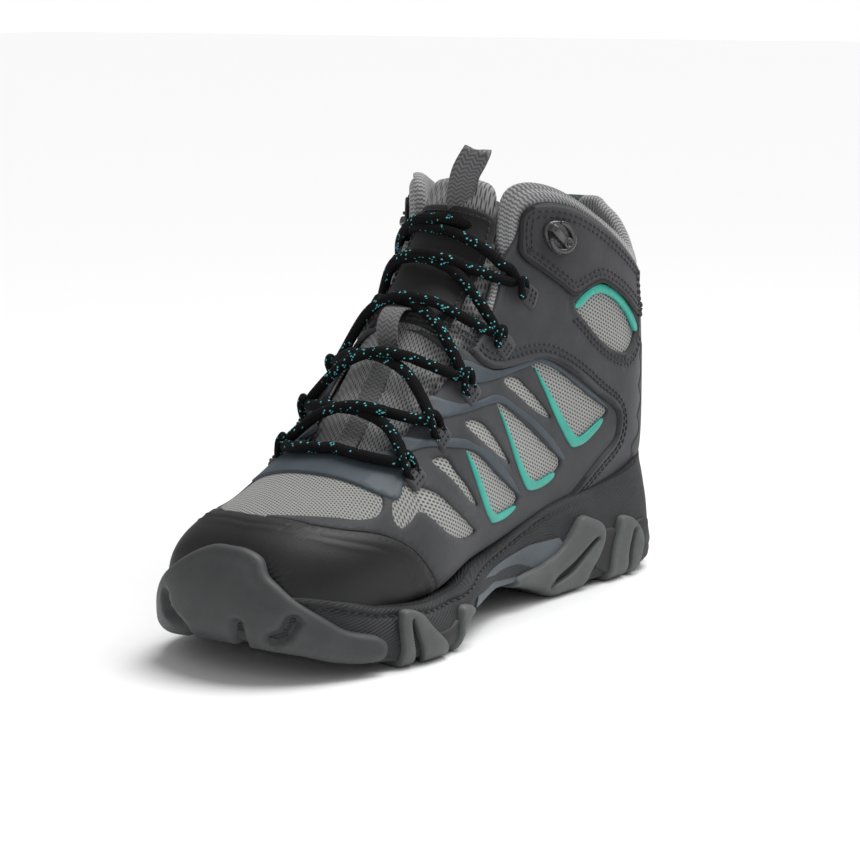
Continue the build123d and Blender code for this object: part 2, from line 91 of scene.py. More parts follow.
def monotone(knots, values, x):
    """Smooth interpolation through (knots, values) with no overshoot, at the array x."""
    knots = np.asarray(knots, float)
    values = np.asarray(values, float)
    steps = np.diff(knots)
    slopes = np.diff(values) / steps
    inner = np.zeros(len(knots) - 2)
    same = slopes[:-1] * slopes[1:] > 0
    inner[same] = 2 * slopes[:-1][same] * slopes[1:][same] / (slopes[:-1] + slopes[1:])[same]
    tangents = np.concatenate([[slopes[0]], inner, [slopes[-1]]])
    k = np.clip(np.searchsorted(knots, x, side="right") - 1, 0, len(steps) - 1)
    h = steps[k]
    u = (x - knots[k]) / h
    return ((1 + 2 * u) * (1 - u) ** 2 * values[k] + u * (1 - u) ** 2 * h * tangents[k]
            + u * u * (3 - 2 * u) * values[k + 1] + u * u * (u - 1) * h * tangents[k + 1])


def rounded(points, closed=True, per_span=10, tension=0.5):
    """A Catmull-Rom curve through the points, as an array."""
    p = np.asarray(points, float)
    count = len(p)
    spans = count if closed else count - 1
    rows = []
    for i in range(spans):
        pick = [i - 1, i, i + 1, i + 2]
        pick = [j % count if closed else min(max(j, 0), count - 1) for j in pick]
        a, b, c, d = p[pick]
        for u in np.arange(per_span) / per_span:
            m0 = (c - a) * tension
            m1 = (d - b) * tension
            rows.append((2 * u**3 - 3 * u**2 + 1) * b + (u**3 - 2 * u**2 + u) * m0
                        + (3 * u**2 - 2 * u**3) * c + (u**3 - u**2) * m1)
    if not closed:
        rows.append(p[-1])
    return np.array(rows)


def resample(points, step, closed):
    """The polyline with points at an even spacing close to step."""
    p = np.vstack([points, points[:1]]) if closed else np.asarray(points, float)
    lengths = running_length(p)
    count = max(int(round(lengths[-1] / step)), 3 if closed else 1)
    at = np.linspace(0, lengths[-1], count + 1)
    if closed:
        at = at[:-1]
    return np.stack([np.interp(at, lengths, p[:, k]) for k in range(p.shape[1])], axis=1)


# ---------------------------------------------------------------- surfaces
class Surface:
    """A smooth surface over a rectangle of two coordinates, held as a fine grid in mm."""

    def __init__(self, a, b, points, outward):
        self.a, self.b, self.points = a, b, points
        da = np.gradient(points, a, axis=0)
        db = np.gradient(points, b, axis=1)
        self.da, self.db = da, db
        self.normal = unit(np.cross(da, db)) * outward

    def sample(self, grid, chart):
        chart = np.asarray(chart, float)
        i = (chart[:, 0] - self.a[0]) / (self.a[1] - self.a[0])
        j = (chart[:, 1] - self.b[0]) / (self.b[1] - self.b[0])
        i = np.clip(i, 0, len(self.a) - 1.001)
        j = np.clip(j, 0, len(self.b) - 1.001)
        i0, j0 = i.astype(int), j.astype(int)
        u, v = (i - i0)[:, None], (j - j0)[:, None]
        return ((1 - u) * (1 - v) * grid[i0, j0] + u * (1 - v) * grid[i0 + 1, j0]
                + (1 - u) * v * grid[i0, j0 + 1] + u * v * grid[i0 + 1, j0 + 1])

    def at(self, chart, lift=0.0):
        lift = np.asarray(lift, float).reshape(-1, 1)
        return self.sample(self.points, chart) + self.normals(chart) * lift

    def normals(self, chart):
        return unit(self.sample(self.normal, chart))

    def find(self, view, wanted, low=(0.0, 0.0), high=(1.0, 1.0), origin=(0.0, 0.0, 0.0)):
        """Chart coordinates of the points whose flat view (two columns) matches wanted."""
        fa = (self.a - self.a[0]) / (self.a[-1] - self.a[0])
        fb = (self.b - self.b[0]) / (self.b[-1] - self.b[0])
        ia = np.where((fa >= low[0]) & (fa <= high[0]))[0]
        ib = np.where((fb >= low[1]) & (fb <= high[1]))[0]
        patch = (self.points[ia[0]:ia[-1] + 1, ib[0]:ib[-1] + 1] - origin) @ view
        wanted = np.asarray(wanted, float)
        found = []
        for target in wanted:
            gap = ((patch - target) ** 2).sum(-1)
            i, j = np.unravel_index(gap.argmin(), gap.shape)
            found.append((self.a[ia[0] + i], self.b[ib[0] + j]))
        chart = np.array(found)
        cell = np.array([self.a[1] - self.a[0], self.b[1] - self.b[0]])
        for _ in range(2):
            miss = wanted - (self.sample(self.points, chart) - origin) @ view
            ja = self.sample(self.da, chart) @ view
            jb = self.sample(self.db, chart) @ view
            det = ja[:, 0] * jb[:, 1] - ja[:, 1] * jb[:, 0]
            det = np.where(np.abs(det) < 1.0, np.inf, det)
            move = np.stack([miss[:, 0] * jb[:, 1] - miss[:, 1] * jb[:, 0],
                             ja[:, 0] * miss[:, 1] - ja[:, 1] * miss[:, 0]], axis=1)
            chart = chart + np.clip(move / det[:, None], -cell, cell)
        return np.clip(chart, [self.a[0], self.b[0]], [self.a[-1], self.b[-1]])

    def sideways(self, line, closed):
        """Unit steps (per mm) in the chart, square to a line and to the left of travel."""
        along = np.gradient(line, axis=0) if not closed else (
            np.roll(line, -1, axis=0) - np.roll(line, 1, axis=0))
        da, db = self.sample(self.da, line), self.sample(self.db, line)
        e, f, g = (da * da).sum(1), (da * db).sum(1), (db * db).sum(1)
        turn = np.stack([-along[:, 1], along[:, 0]], axis=1)
        det = np.maximum(e * g - f * f, 1e-9)
        step = np.stack([(g * turn[:, 0] - f * turn[:, 1]) / det,
                         (e * turn[:, 1] - f * turn[:, 0]) / det], axis=1)
        size = np.sqrt(e * step[:, 0] ** 2 + 2 * f * step[:, 0] * step[:, 1]
                       + g * step[:, 1] ** 2)
        return step / np.maximum(size, 1e-9)[:, None]


def upper_surface(along=420, around=480):
    """The outside of the upper. Chart: s from toe to collar, t round it from the bottom."""
    s = np.linspace(0.004, 1.09, along)
    t = np.linspace(0.0, 1.0, around)
    knots = [row[0] for row in STATIONS]

    def column(pick):
        return monotone(knots, [pick(row) for row in STATIONS], s)

    top = np.stack([column(lambda row, k=k: row[1][k]) for k in range(3)], axis=1)
    low = np.stack([column(lambda row, k=k: row[2][k]) for k in range(3)], axis=1)
    inner, outer, waist, low_power, high_power = [
        column(lambda row, k=k: row[k])[:, None] for k in range(3, 8)]
    c = np.cos(2 * pi * t)[None]
    w = np.sin(2 * pi * t)[None]
    power = 2 / np.where(c > 0, low_power, high_power)
    rise = np.abs(c) ** power
    height = np.where(c > 0, waist - waist * rise, waist + (1 - waist) * rise)
    across = np.sign(w) * np.where(w >= 0, inner, outer) * np.abs(w) ** power
    points = low[:, None] + (top - low)[:, None] * height[..., None]
    points[..., 0] += across
    return Surface(s, t, points, 1.0)


UPPER = upper_surface()
INNER_HALF = ((0.0, 0.02), (1.0, 0.5))
OUTER_HALF = ((0.0, 0.5), (1.0, 0.98))
TOP_HALF = ((0.0, 0.22), (1.0, 0.78))
MIRROR = {1: "medial", -1: "lateral"}
SIDE_VIEW = np.array([[0.0, 0.0], [1.0, 0.0], [0.0, 1.0]])
TOP_VIEW = np.array([[1.0, 0.0], [0.0, 1.0], [0.0, 0.0]])


def on_side(points, side):
    """Upper chart coordinates of (y, z) points, on the inner (1) or outer (-1) side."""
    low, high = INNER_HALF if side > 0 else OUTER_HALF
    return UPPER.find(SIDE_VIEW, points, low, high)


def on_top(points):
    """Upper chart coordinates of (x, y) points seen from above."""
    return UPPER.find(TOP_VIEW, points, *TOP_HALF)


# ---------------------------------------------------------------- sole wall and tread
def smooth_line_at(line, y):
    """Height at y of a smooth (y, z) line."""
    return monotone([p[0] for p in line], [p[1] for p in line], y)


CORNER = 5.0             # radius where the wall turns under the sole
UNDER = 26.0             # how far the wrap surface reaches in under the sole
BAND = 3.0               # how far the lugs stand out from the wall and below it
HEEL_START = 11          # plan point at the back of the heel, where the wrap begins


def sole_surface():
    """The sidewall wrapped under the sole. Chart: mm round the plan from the back of the heel
    by the outer side, mm up from the top of the corner."""
    plan = SOLE_PLAN[HEEL_START:] + SOLE_PLAN[:HEEL_START]
    path = resample(rounded(plan, per_span=24), 0.85, True)
    path = np.vstack([path, path[:1]])
    round_mm = running_length(path)
    even = np.linspace(0, round_mm[-1], 900)
    path = np.stack([np.interp(even, round_mm, path[:, k]) for k in range(2)], axis=1)
    along = np.gradient(path, axis=0)
    along[0] = along[-1] = along[0] + along[-1]
    out = np.stack([along[:, 1], -along[:, 0]], axis=1)
    out /= np.linalg.norm(out, axis=1, keepdims=True)
    up = np.linspace(-UNDER, 66, 260)
    ground = smooth_line_at(TREAD_LINE, path[:, 1]) + BAND
    toe = np.clip((-path[:, 1] - 92) / 40, 0, 1)
    points = np.zeros((len(even), len(up), 3))
    arc = CORNER * pi / 2
    for j, v in enumerate(up):
        if v < -arc:
            inset, rise = CORNER + (-v - arc), 0.0
        elif v < 0:
            angle = -v / CORNER
            inset, rise = CORNER * (1 - cos(angle)), CORNER * (1 - sin(angle))
        else:
            inset, rise = 0.0, CORNER + v
        flare = 1.6 * max(0.0, 1 - rise / 26.0) ** 2
        lean = np.clip((ground + rise - 30) / 26, 0, 1) ** 2 * 9 * toe
        shift = (flare * (1 - toe) - inset - lean)[:, None]
        points[:, j, :2] = path + out * shift
        points[:, j, 2] = ground + rise
    return Surface(even, up, points, 1.0), path


SOLE, SOLE_PATH = sole_surface()
ROUND = SOLE.a[-1]
TOE_INDEX = int(SOLE_PATH[:, 1].argmin())


def round_at(y, side):
    """Distance round the plan of the wall point at y on the inner (1) or outer (-1) side."""
    if side > 0:
        return np.interp(y, SOLE_PATH[TOE_INDEX:, 1], SOLE.a[TOE_INDEX:])
    return np.interp(y, SOLE_PATH[:TOE_INDEX + 1, 1][::-1], SOLE.a[:TOE_INDEX + 1][::-1])


def on_wall(points, side):
    """Sole chart coordinates of (y, z) points; z below 0 is that far in under the sole."""
    p = np.asarray(points, float)
    ground = smooth_line_at(TREAD_LINE, p[:, 0]) + BAND + CORNER
    v = np.where(p[:, 1] < 0, p[:, 1] - CORNER * pi / 2, p[:, 1] - ground)
    v = np.where((p[:, 1] >= 0) & (v < 0), v * pi / 2 * 0.8, v)
    return np.stack([round_at(p[:, 0], side), v], axis=1)


def on_toe(points):
    """Sole chart coordinates of (x, y, z) points round the toe."""
    p = np.asarray(points, float)
    gaps = ((SOLE_PATH[None] - p[:, None, :2]) ** 2).sum(-1)
    index = gaps.argmin(1)
    ground = smooth_line_at(TREAD_LINE, SOLE_PATH[index, 1]) + BAND + CORNER
    return np.stack([SOLE.a[index], p[:, 2] - ground], axis=1)


# ---------------------------------------------------------------- mesh building
def make_object(name, points, faces, material, uv=None, smooth=True):
    """A mesh object from points in mm. uv is one pair per point, in mm of cloth."""
    mesh = bpy.data.meshes.new(name)
    mesh.from_pydata((np.asarray(points) * MM).tolist(), [], [list(map(int, f)) for f in faces])
    mesh.update()
    if uv is not None:
        layer = mesh.uv_layers.new(name="cloth_mm")
        loops = np.zeros(len(mesh.loops), np.int32)
        mesh.loops.foreach_get("vertex_index", loops)
        layer.data.foreach_set("uv", np.asarray(uv, np.float32)[loops].ravel())
    if smooth:
        mesh.polygons.foreach_set("use_smooth", [True] * len(mesh.polygons))
    mesh.materials.append(material)
    thing = bpy.data.objects.new(name, mesh)
    bpy.context.scene.collection.objects.link(thing)
    return thing


def loft_faces(rows, cols, flip=False):
    """Quads between closed rings of points that follow one another."""
    faces = []
    for i in range(rows - 1):
        for j in range(cols):
            k = (j + 1) % cols
            a, b, c, d = i * cols + j, i * cols + k, (i + 1) * cols + k, (i + 1) * cols + j
            faces.append((a, d, c, b) if flip else (a, b, c, d))
    return faces


def inside(loop, points):
    """Even-odd test of many points against one closed loop."""
    x, y = points[:, 0][:, None], points[:, 1][:, None]
    x0, y0 = loop[:, 0][None], loop[:, 1][None]
    x1, y1 = np.roll(loop[:, 0], -1)[None], np.roll(loop[:, 1], -1)[None]
    cross = (y0 > y) != (y1 > y)
    with np.errstate(divide="ignore", invalid="ignore"):
        hit = x < (x1 - x0) * (y - y0) / (y1 - y0) + x0
    return (np.sum(cross & hit, axis=1) % 2) == 1


def on_sheet(loops, points):
    """Which points lie inside the first loop and outside the others."""
    good = inside(loops[0], points)
    for hole in loops[1:]:
        good &= ~inside(hole, points)
    return good


def area_sign(loop):
    """1 for a loop that turns left, -1 for one that turns right."""
    x, y = loop[:, 0], loop[:, 1]
    return 1.0 if np.sum(x * np.roll(y, -1) - y * np.roll(x, -1)) > 0 else -1.0


def nearest_distance(edge_points, points):
    tree = KDTree(len(edge_points))
    for i, p in enumerate(edge_points):
        tree.insert(p, i)
    tree.balance()
    return np.array([tree.find(p)[2] for p in points])


def edge_loop(surface, loop, step):
    """A chart loop with points an even distance apart in space."""
    dense = resample(loop, (np.linalg.norm(np.ptp(loop, axis=0)) / 400) or 1e-3, True)
    space = surface.at(dense)
    ring = np.vstack([space, space[:1]])
    lengths = running_length(ring)
    count = max(int(lengths[-1] / step), 8)
    at = np.linspace(0, lengths[-1], count + 1)[:-1]
    closed = np.vstack([dense, dense[:1]])
    return np.stack([np.interp(at, lengths, closed[:, k]) for k in range(2)], axis=1)


def panel(name, surface, outer, holes=(), lift=0.0, thick=1.0, edge=0.8, sink=0.6, spacing=2.2,
          material=None, uv=None, relief=None, hem=1.2, rings=()):
    """A piece of sheet on a surface: outline and holes in chart coordinates, rounded edges.

    lift is the height of its underside edge, thick its full thickness reached edge mm in from
    the boundary, sink how far its closed underside lies below lift. rings are extra distances
    from the boundary that get a row of points, for relief."""
    loops = [edge_loop(surface, np.asarray(loop, float), hem) for loop in [outer, *holes]]
    edge_space = np.vstack([surface.at(loop) for loop in loops])
    chart_points = [*loops]
    for index, loop in enumerate(loops):
        sign = area_sign(loop) * (1 if index == 0 else -1)
        step = surface.sideways(loop, True) * sign
        for distance in (0.3 * edge, edge, *rings):
            ring = loop + step * distance
            ring = ring[on_sheet(loops, ring)]
            if len(ring):
                gap = nearest_distance(edge_space, surface.at(ring))
                chart_points.append(ring[gap > distance * 0.85])
    low, high = loops[0].min(0), loops[0].max(0)
    middle = (low + high) / 2
    probe = np.array([middle, middle + [1e-3 * (high[0] - low[0]), 0],
                      middle + [0, 1e-3 * (high[1] - low[1])]])
    spot = surface.at(probe)
    rate = [np.linalg.norm(spot[k] - spot[0]) * 1e3 for k in (1, 2)]
    count = [max(int(r / spacing), 2) for r in rate]
    ga, gb = np.meshgrid(np.linspace(low[0], high[0], count[0] + 1),
                         np.linspace(low[1], high[1], count[1] + 1), indexing="ij")
    gb[1::2] += (gb[0, 1] - gb[0, 0]) / 2
    grid = np.stack([ga.ravel(), gb.ravel()], axis=1)
    grid = grid[on_sheet(loops, grid)]
    if len(grid):
        gap = nearest_distance(edge_space, surface.at(grid))
        free = gap > edge + 0.45 * spacing
        for distance in rings:
            free &= np.abs(gap - distance) > 0.3 * spacing
        chart_points.append(grid[free])
    chart = np.vstack(chart_points)
    edges = []
    start = 0
    for loop in loops:
        n = len(loop)
        edges += [(start + i, start + (i + 1) % n) for i in range(n)]
        start += n
    scale = np.array([rate[0] / (high[0] - low[0]), rate[1] / (high[1] - low[1])])
    flat = (chart - low) * scale
    verts, _, tris, _, _, _ = delaunay_2d_cdt(
        [Vector(p) for p in flat], edges, [], 0, 1e-5)
    flat_out = np.array([tuple(v) for v in verts])
    chart_out = flat_out / scale + low
    tris = np.array([t for t in tris if len(t) == 3])
    tris = tris[on_sheet(loops, chart_out[tris].mean(axis=1))]
    used = np.unique(tris)
    remap = -np.ones(len(chart_out), int)
    remap[used] = np.arange(len(used))
    tris = remap[tris]
    chart_out = chart_out[used]
    gap = nearest_distance(edge_space, surface.at(chart_out))
    swell = np.sqrt(np.clip(1 - (1 - np.clip(gap / edge, 0, 1)) ** 2, 0, 1))
    height = lift + thick * swell
    if relief is not None:
        height = height + relief(surface.at(chart_out), gap, chart_out) * np.clip(gap / edge, 0, 1)
    top = surface.at(chart_out, height)
    bottom = surface.at(chart_out, lift - sink)
    count_top = len(chart_out)
    ab = chart_out[tris]
    turn = ((ab[:, 1, 0] - ab[:, 0, 0]) * (ab[:, 2, 1] - ab[:, 0, 1])
            - (ab[:, 1, 1] - ab[:, 0, 1]) * (ab[:, 2, 0] - ab[:, 0, 0]))
    tris[turn < 0] = tris[turn < 0][:, ::-1]
    p = top[tris]
    facing = np.cross(p[:, 1] - p[:, 0], p[:, 2] - p[:, 0])
    out = surface.normals(chart_out)[tris[:, 0]]
    if (facing * out).sum() < 0:
        tris = tris[:, ::-1]
    sides = {}
    for tri in tris:
        for k in range(3):
            sides[(tri[k], tri[(k + 1) % 3])] = True
    rim = [(i, j) for (i, j) in sides if (j, i) not in sides]
    faces = [tuple(t) for t in tris]
    faces += [tuple(t[::-1] + count_top) for t in tris]
    faces += [(j, i, i + count_top, j + count_top) for i, j in rim]
    points = np.vstack([top, bottom])
    coordinates = None
    if uv is not None:
        coordinates = uv(surface.at(chart_out), chart_out)
        coordinates = np.vstack([coordinates, coordinates])
    return make_object(name, points, faces, material, coordinates)


def uv_side(points, chart):
    return points[:, [1, 2]]


def uv_top(points, chart):
    return points[:, [0, 1]]


def uv_sole(points, chart):
    return chart


def tube(name, path, radius, material, sides=12, squash=1.0, up=None):
    """A cord along a path in mm; squash flattens it along the up direction at each point."""
    path = np.asarray(path, float)
    n = len(path)
    along = unit(np.gradient(path, axis=0))
    if up is None:
        up = np.tile([0.0, -0.5, 0.8], (n, 1))
    up = np.asarray(up, float)
    side = unit(np.cross(along, up))
    up = np.cross(side, along)
    radius = np.broadcast_to(np.asarray(radius, float), (n,))
    lengths = running_length(path)
    angle = 2 * pi * np.arange(sides + 1) / sides
    rings = (path[:, None] + side[:, None] * (np.cos(angle)[None, :, None] * radius[:, None, None])
             + up[:, None] * (np.sin(angle)[None, :, None] * radius[:, None, None] * squash))
    points = rings[:, :-1].reshape(-1, 3)
    faces = []
    corner_uv = []
    for i in range(n - 1):
        for k in range(sides):
            k1 = (k + 1) % sides
            faces.append((i * sides + k, i * sides + k1, (i + 1) * sides + k1, (i + 1) * sides + k))
            around = 2 * pi * float(radius[i])
            corner_uv += [(lengths[i], around * k / sides), (lengths[i], around * (k + 1) / sides),
                          (lengths[i + 1], around * (k + 1) / sides),
                          (lengths[i + 1], around * k / sides)]
    faces += [tuple(reversed(range(sides))), tuple((n - 1) * sides + k for k in range(sides))]
    corner_uv += [(0.0, 0.0)] * (2 * sides)
    mesh = bpy.data.meshes.new(name)
    mesh.from_pydata((points * MM).tolist(), [], faces)
    mesh.update()
    layer = mesh.uv_layers.new(name="cloth_mm")
    layer.data.foreach_set("uv", np.asarray(corner_uv, np.float32).ravel())
    mesh.polygons.foreach_set("use_smooth", [True] * len(mesh.polygons))
    mesh.materials.append(material)
    thing = bpy.data.objects.new(name, mesh)
    bpy.context.scene.collection.objects.link(thing)
    return thing


def merge(name, things):
    """One object from several, keeping their uv layers."""
    things = [t for t in things if t is not None]
    with bpy.context.temp_override(active_object=things[0], object=things[0],
                                   selected_objects=things, selected_editable_objects=things):
        bpy.ops.object.join()
    things[0].name = name
    things[0].data.name = name
    return things[0]


STITCH_LENGTH, STITCH_GAP, STITCH_RADIUS = 2.3, 0.9, 0.42


def stitches(name, surface, lines, lift, material, length=STITCH_LENGTH, gap=STITCH_GAP,
             radius=STITCH_RADIUS):
    """Thread stitches along chart lines: short humps that dive into the sheet at both ends."""
    points, faces = [], []
    ring = 6
    steps = np.array([0.0, 0.12, 0.35, 0.65, 0.88, 1.0])
    humps = np.array([-0.6, 0.35, 0.75, 0.75, 0.35, -0.6])
    last = (len(steps) - 1) * ring
    shape = loft_faces(len(steps), ring)
    shape += [tuple(reversed(range(ring))), tuple(range(last, last + ring))]
    for line in lines:
        dense = np.asarray(line, float)
        space = surface.at(dense)
        run = running_length(space)
        for begin in np.arange(0.3, run[-1] - length, length + gap):
            at = begin + steps * length
            chart = np.stack([np.interp(at, run, dense[:, k]) for k in range(2)], axis=1)
            centre = surface.at(chart, lift + humps * radius)
            up = surface.normals(chart)
            along = np.gradient(centre, axis=0)
            side = unit(np.cross(along, up))
            base = len(points)
            for i in range(len(steps)):
                for k in range(ring):
                    angle = 2 * pi * k / ring
                    points.append(centre[i] + radius * (side[i] * cos(angle) + up[i] * sin(angle)))
            faces += [tuple(base + corner for corner in face) for face in shape]
    return make_object(name, np.array(points), faces, material)


def offset_line(surface, line, distance, closed=False):
    """A chart line moved sideways on the surface by a distance in mm, to the left of travel."""
    line = np.asarray(line, float)
    return line + surface.sideways(line, closed) * distance


def ring_beside(surface, loop, distance, within):
    """A closed loop moved by a distance, to its inside or to its outside."""
    ring = offset_line(surface, loop, distance, True)
    if (inside(loop, ring).mean() > 0.5) != within:
        ring = offset_line(surface, loop, -distance, True)
    return ring


def beside(surface, line, distance, loop):
    """A chart line moved sideways by a distance, to the side that lies inside the loop."""
    left = offset_line(surface, line, distance)
    right = offset_line(surface, line, -distance)
    closed = np.asarray(loop, float)
    return left if inside(closed, left).sum() >= inside(closed, right).sum() else right


# ---------------------------------------------------------------- materials
class Shade:
    """A small way to write node materials: every method returns an output socket."""

    def __init__(self, name, roughness=0.6, specular=0.4, sheen=0.0, coat=0.0):
        self.material = bpy.data.materials.new(name)
        self.material.use_nodes = True
        self.tree = self.material.node_tree
        self.tree.nodes.clear()
        self.out = self.tree.nodes.new("ShaderNodeOutputMaterial")
        self.bsdf = self.tree.nodes.new("ShaderNodeBsdfPrincipled")
        self.tree.links.new(self.bsdf.outputs[0], self.out.inputs[0])
        self.set("Roughness", roughness)
        self.set("Specular IOR Level", specular)
        self.set("Sheen Weight", sheen)
        self.set("Coat Weight", coat)
        self.height = None

    def link(self, value, socket):
        if isinstance(value, bpy.types.NodeSocket):
            self.tree.links.new(value, socket)
        else:
            socket.default_value = value

    def set(self, name, value):
        self.link(value, self.bsdf.inputs[name])

    def node(self, kind, inputs=(), **settings):
        made = self.tree.nodes.new(kind)
        for key, value in settings.items():
            setattr(made, key, value)
        for key, value in dict(inputs).items():
            self.link(value, made.inputs[key])
        return made

    def space(self):
        return self.node("ShaderNodeTexCoord").outputs["Object"]

    def cloth(self):
        return self.node("ShaderNodeUVMap", uv_map="cloth_mm").outputs[0]

    def turned(self, vector, angle=0.0, scale=(1, 1, 1), shift=(0, 0, 0)):
        return self.node("ShaderNodeMapping", {"Vector": vector, "Rotation": (0, 0, angle),
                                               "Scale": scale, "Location": shift}).outputs[0]

    def noise(self, vector, scale, detail=3.0, rough=0.6):
        return self.node("ShaderNodeTexNoise", {"Vector": vector, "Scale": scale,
                                                "Detail": detail, "Roughness": rough}).outputs[0]

    def cells(self, vector, scale, feature="F1", output=0, randomness=1.0):
        return self.node("ShaderNodeTexVoronoi", {"Vector": vector, "Scale": scale,
                                                  "Randomness": randomness},
                         feature=feature).outputs[output]

    def math(self, operation, a, b=0.0, clamp=False):
        made = self.node("ShaderNodeMath", operation=operation, use_clamp=clamp)
        self.link(a, made.inputs[0])
        self.link(b, made.inputs[1])
        return made.outputs[0]

    def plus(self, a, b):
        return self.math("ADD", a, b)

    def minus(self, a, b):
        return self.math("SUBTRACT", a, b)

    def times(self, a, b):
        return self.math("MULTIPLY", a, b)

    def split(self, vector):
        return self.node("ShaderNodeSeparateXYZ", {"Vector": vector}).outputs

    def join(self, x, y, z=0.0):
        return self.node("ShaderNodeCombineXYZ", {"X": x, "Y": y, "Z": z}).outputs[0]

    def ramp(self, value, low, high):
        return self.node("ShaderNodeMapRange", {"Value": value, "From Min": low,
                                                "From Max": high}).outputs[0]

    def mix(self, factor, a, b):
        made = self.node("ShaderNodeMix", data_type="RGBA")
        self.link(factor, made.inputs[0])
        self.link(a, made.inputs[6])
        self.link(b, made.inputs[7])
        return made.outputs[2]

    def bump(self, height, distance_mm, strength=1.0):
        """Adds relief: height is 0 to 1, distance_mm its depth."""
        inputs = {"Height": height, "Distance": distance_mm * MM, "Strength": strength}
        if self.height is not None:
            inputs["Normal"] = self.height
        self.height = self.node("ShaderNodeBump", inputs).outputs[0]
        self.set("Normal", self.height)

    def edge_wear(self):
        """1 on convex edges, 0 elsewhere."""
        point = self.node("ShaderNodeNewGeometry").outputs["Pointiness"]
        return self.ramp(point, 0.515, 0.60)

    def done(self, colour):
        self.set("Base Color", colour)
        return self.material


def grey(level, warm=0.0):
    return (level * (1 + warm), level, level * (1 - warm), 1.0)


def tint(r, g, b, k=1.0):
    return (r * k, g * k, b * k, 1.0)


def nubuck(name, base, light, grain=520.0):
    """Synthetic nubuck: short matte nap, cloudy tone, paler at the edges."""
    m = Shade(name, roughness=0.82, specular=0.2, sheen=0.1)
    p = m.space()
    clouds = m.noise(p, 34.0, 4.0)
    nap = m.noise(p, grain * 2.6, 4.0, 0.7)
    pores = m.cells(p, grain * 2.2, "DISTANCE_TO_EDGE")
    tone = m.mix(m.ramp(clouds, 0.35, 0.7), base, light)
    tone = m.mix(m.times(m.ramp(nap, 0.45, 0.75), 0.35), tone, light)
    tone = m.mix(m.times(m.edge_wear(), 0.3), tone, grey(0.09))
    m.bump(m.ramp(pores, 0.0, 0.3), 0.05, 0.5)
    m.bump(nap, 0.09, 0.6)
    m.set("Roughness", m.ramp(nap, -0.9, 1.4))
    return m.done(tone)


def toe_leather(name, base, light):
    """Pebbled toe synthetic, slightly waxy."""
    m = Shade(name, roughness=0.58, specular=0.4)
    p = m.space()
    pebble = m.cells(p, 900.0, "SMOOTH_F1")
    fine = m.noise(p, 1500.0, 3.0)
    clouds = m.noise(p, 26.0, 4.0)
    tone = m.mix(m.ramp(clouds, 0.4, 0.72), base, light)
    tone = m.mix(m.times(m.edge_wear(), 0.35), tone, grey(0.06))
    m.bump(pebble, 0.07, 0.5)
    m.bump(fine, 0.05, 0.4)
    m.set("Roughness", m.plus(m.times(clouds, 0.25), 0.42))
    return m.done(tone)


def mesh_cloth(name, light, dark, angle, length=1.75, row=1.35, flat=False):
    """Warp-knit mesh: pale ground with rows of short dark slots, staggered row by row."""
    m = Shade(name, roughness=0.8, specular=0.22, sheen=0.15)
    source = m.turned(m.space(), scale=(1000, 1000, 1000)) if flat else m.cloth()
    x, y, _ = m.split(m.turned(source, angle))
    rows = m.times(y, 1 / row)
    shift = m.times(m.math("FLOOR", rows), 0.5)
    along = m.plus(m.times(x, 1 / length), shift)
    gap_x = m.math("ABSOLUTE", m.minus(m.math("FRACT", along), 0.5))
    gap_y = m.math("ABSOLUTE", m.minus(m.math("FRACT", rows), 0.5))
    slot = m.times(m.ramp(gap_x, 0.38, 0.20), m.ramp(gap_y, 0.36, 0.12))
    yarn = m.math("SINE", m.times(x, 2 * pi / (length / 3)))
    ground = m.minus(1.0, slot)
    height = m.plus(m.times(ground, 0.85), m.times(yarn, 0.06))
    grime = m.noise(m.space(), 60.0, 4.0)
    fuzz = m.noise(m.space(), 2600.0, 2.0)
    pale = m.mix(m.times(grime, 0.5), light, tint(*light[:3], 0.78))
    pale = m.mix(m.times(fuzz, 0.5), pale, tint(*light[:3], 0.55))
    m.bump(height, 0.4, 0.8)
    m.bump(fuzz, 0.08, 0.4)
    return m.done(m.mix(m.times(slot, 0.9), pale, dark))


def film(name, base, light, rough=0.45, weave=0.0):
    """Welded film: smooth, with the cloth beneath pressing through faintly."""
    m = Shade(name, roughness=rough, specular=0.4, coat=0.05)
    p = m.space()
    clouds = m.noise(p, 55.0, 3.0)
    grain = m.noise(p, 1900.0, 3.0)
    tone = m.mix(m.ramp(clouds, 0.35, 0.7), base, light)
    tone = m.mix(m.times(m.edge_wear(), 0.35), tone, tint(*light[:3], 1.5))
    m.bump(grain, 0.05, 0.5 + weave)
    m.set("Roughness", m.plus(m.times(grain, 0.2), rough - 0.1))
    return m.done(tone)


def moulded(name, base, light, lines=0.0, rough=0.6, grain=900.0):
    """Moulded rubber or foam, with fine slanted lines where lines is more than 0, their troughs
    painted darker as shade.
    """
    m = Shade(name, roughness=rough, specular=0.35)
    p = m.space()
    clouds = m.noise(p, 40.0, 4.0)
    fine = m.noise(p, grain, 4.0, 0.65)
    dust = m.noise(p, 180.0, 5.0, 0.7)
    tone = m.mix(m.ramp(clouds, 0.35, 0.7), base, light)
    tone = m.mix(m.times(m.ramp(dust, 0.55, 0.8), 0.25), tone, tint(*light[:3], 1.45))
    tone = m.mix(m.times(m.edge_wear(), 0.45), tone, tint(*light[:3], 1.7))
    if lines > 0:
        slanted = m.turned(m.cloth(), radians(66))
        x, _, _ = m.split(slanted)
        groove = m.math("SINE", m.times(x, 2 * pi / lines))
        m.bump(m.ramp(groove, -0.6, 0.6), 0.32, 0.8)
        # painted shade: the troughs of the slanted lines are darkened
        tone = m.mix(m.times(m.ramp(groove, 0.2, -0.9), 0.45), tone, tint(*base[:3], 0.45))
    m.bump(fine, 0.07, 0.55)
    m.set("Roughness", m.plus(m.times(dust, 0.25), rough - 0.12))
    return m.done(tone)


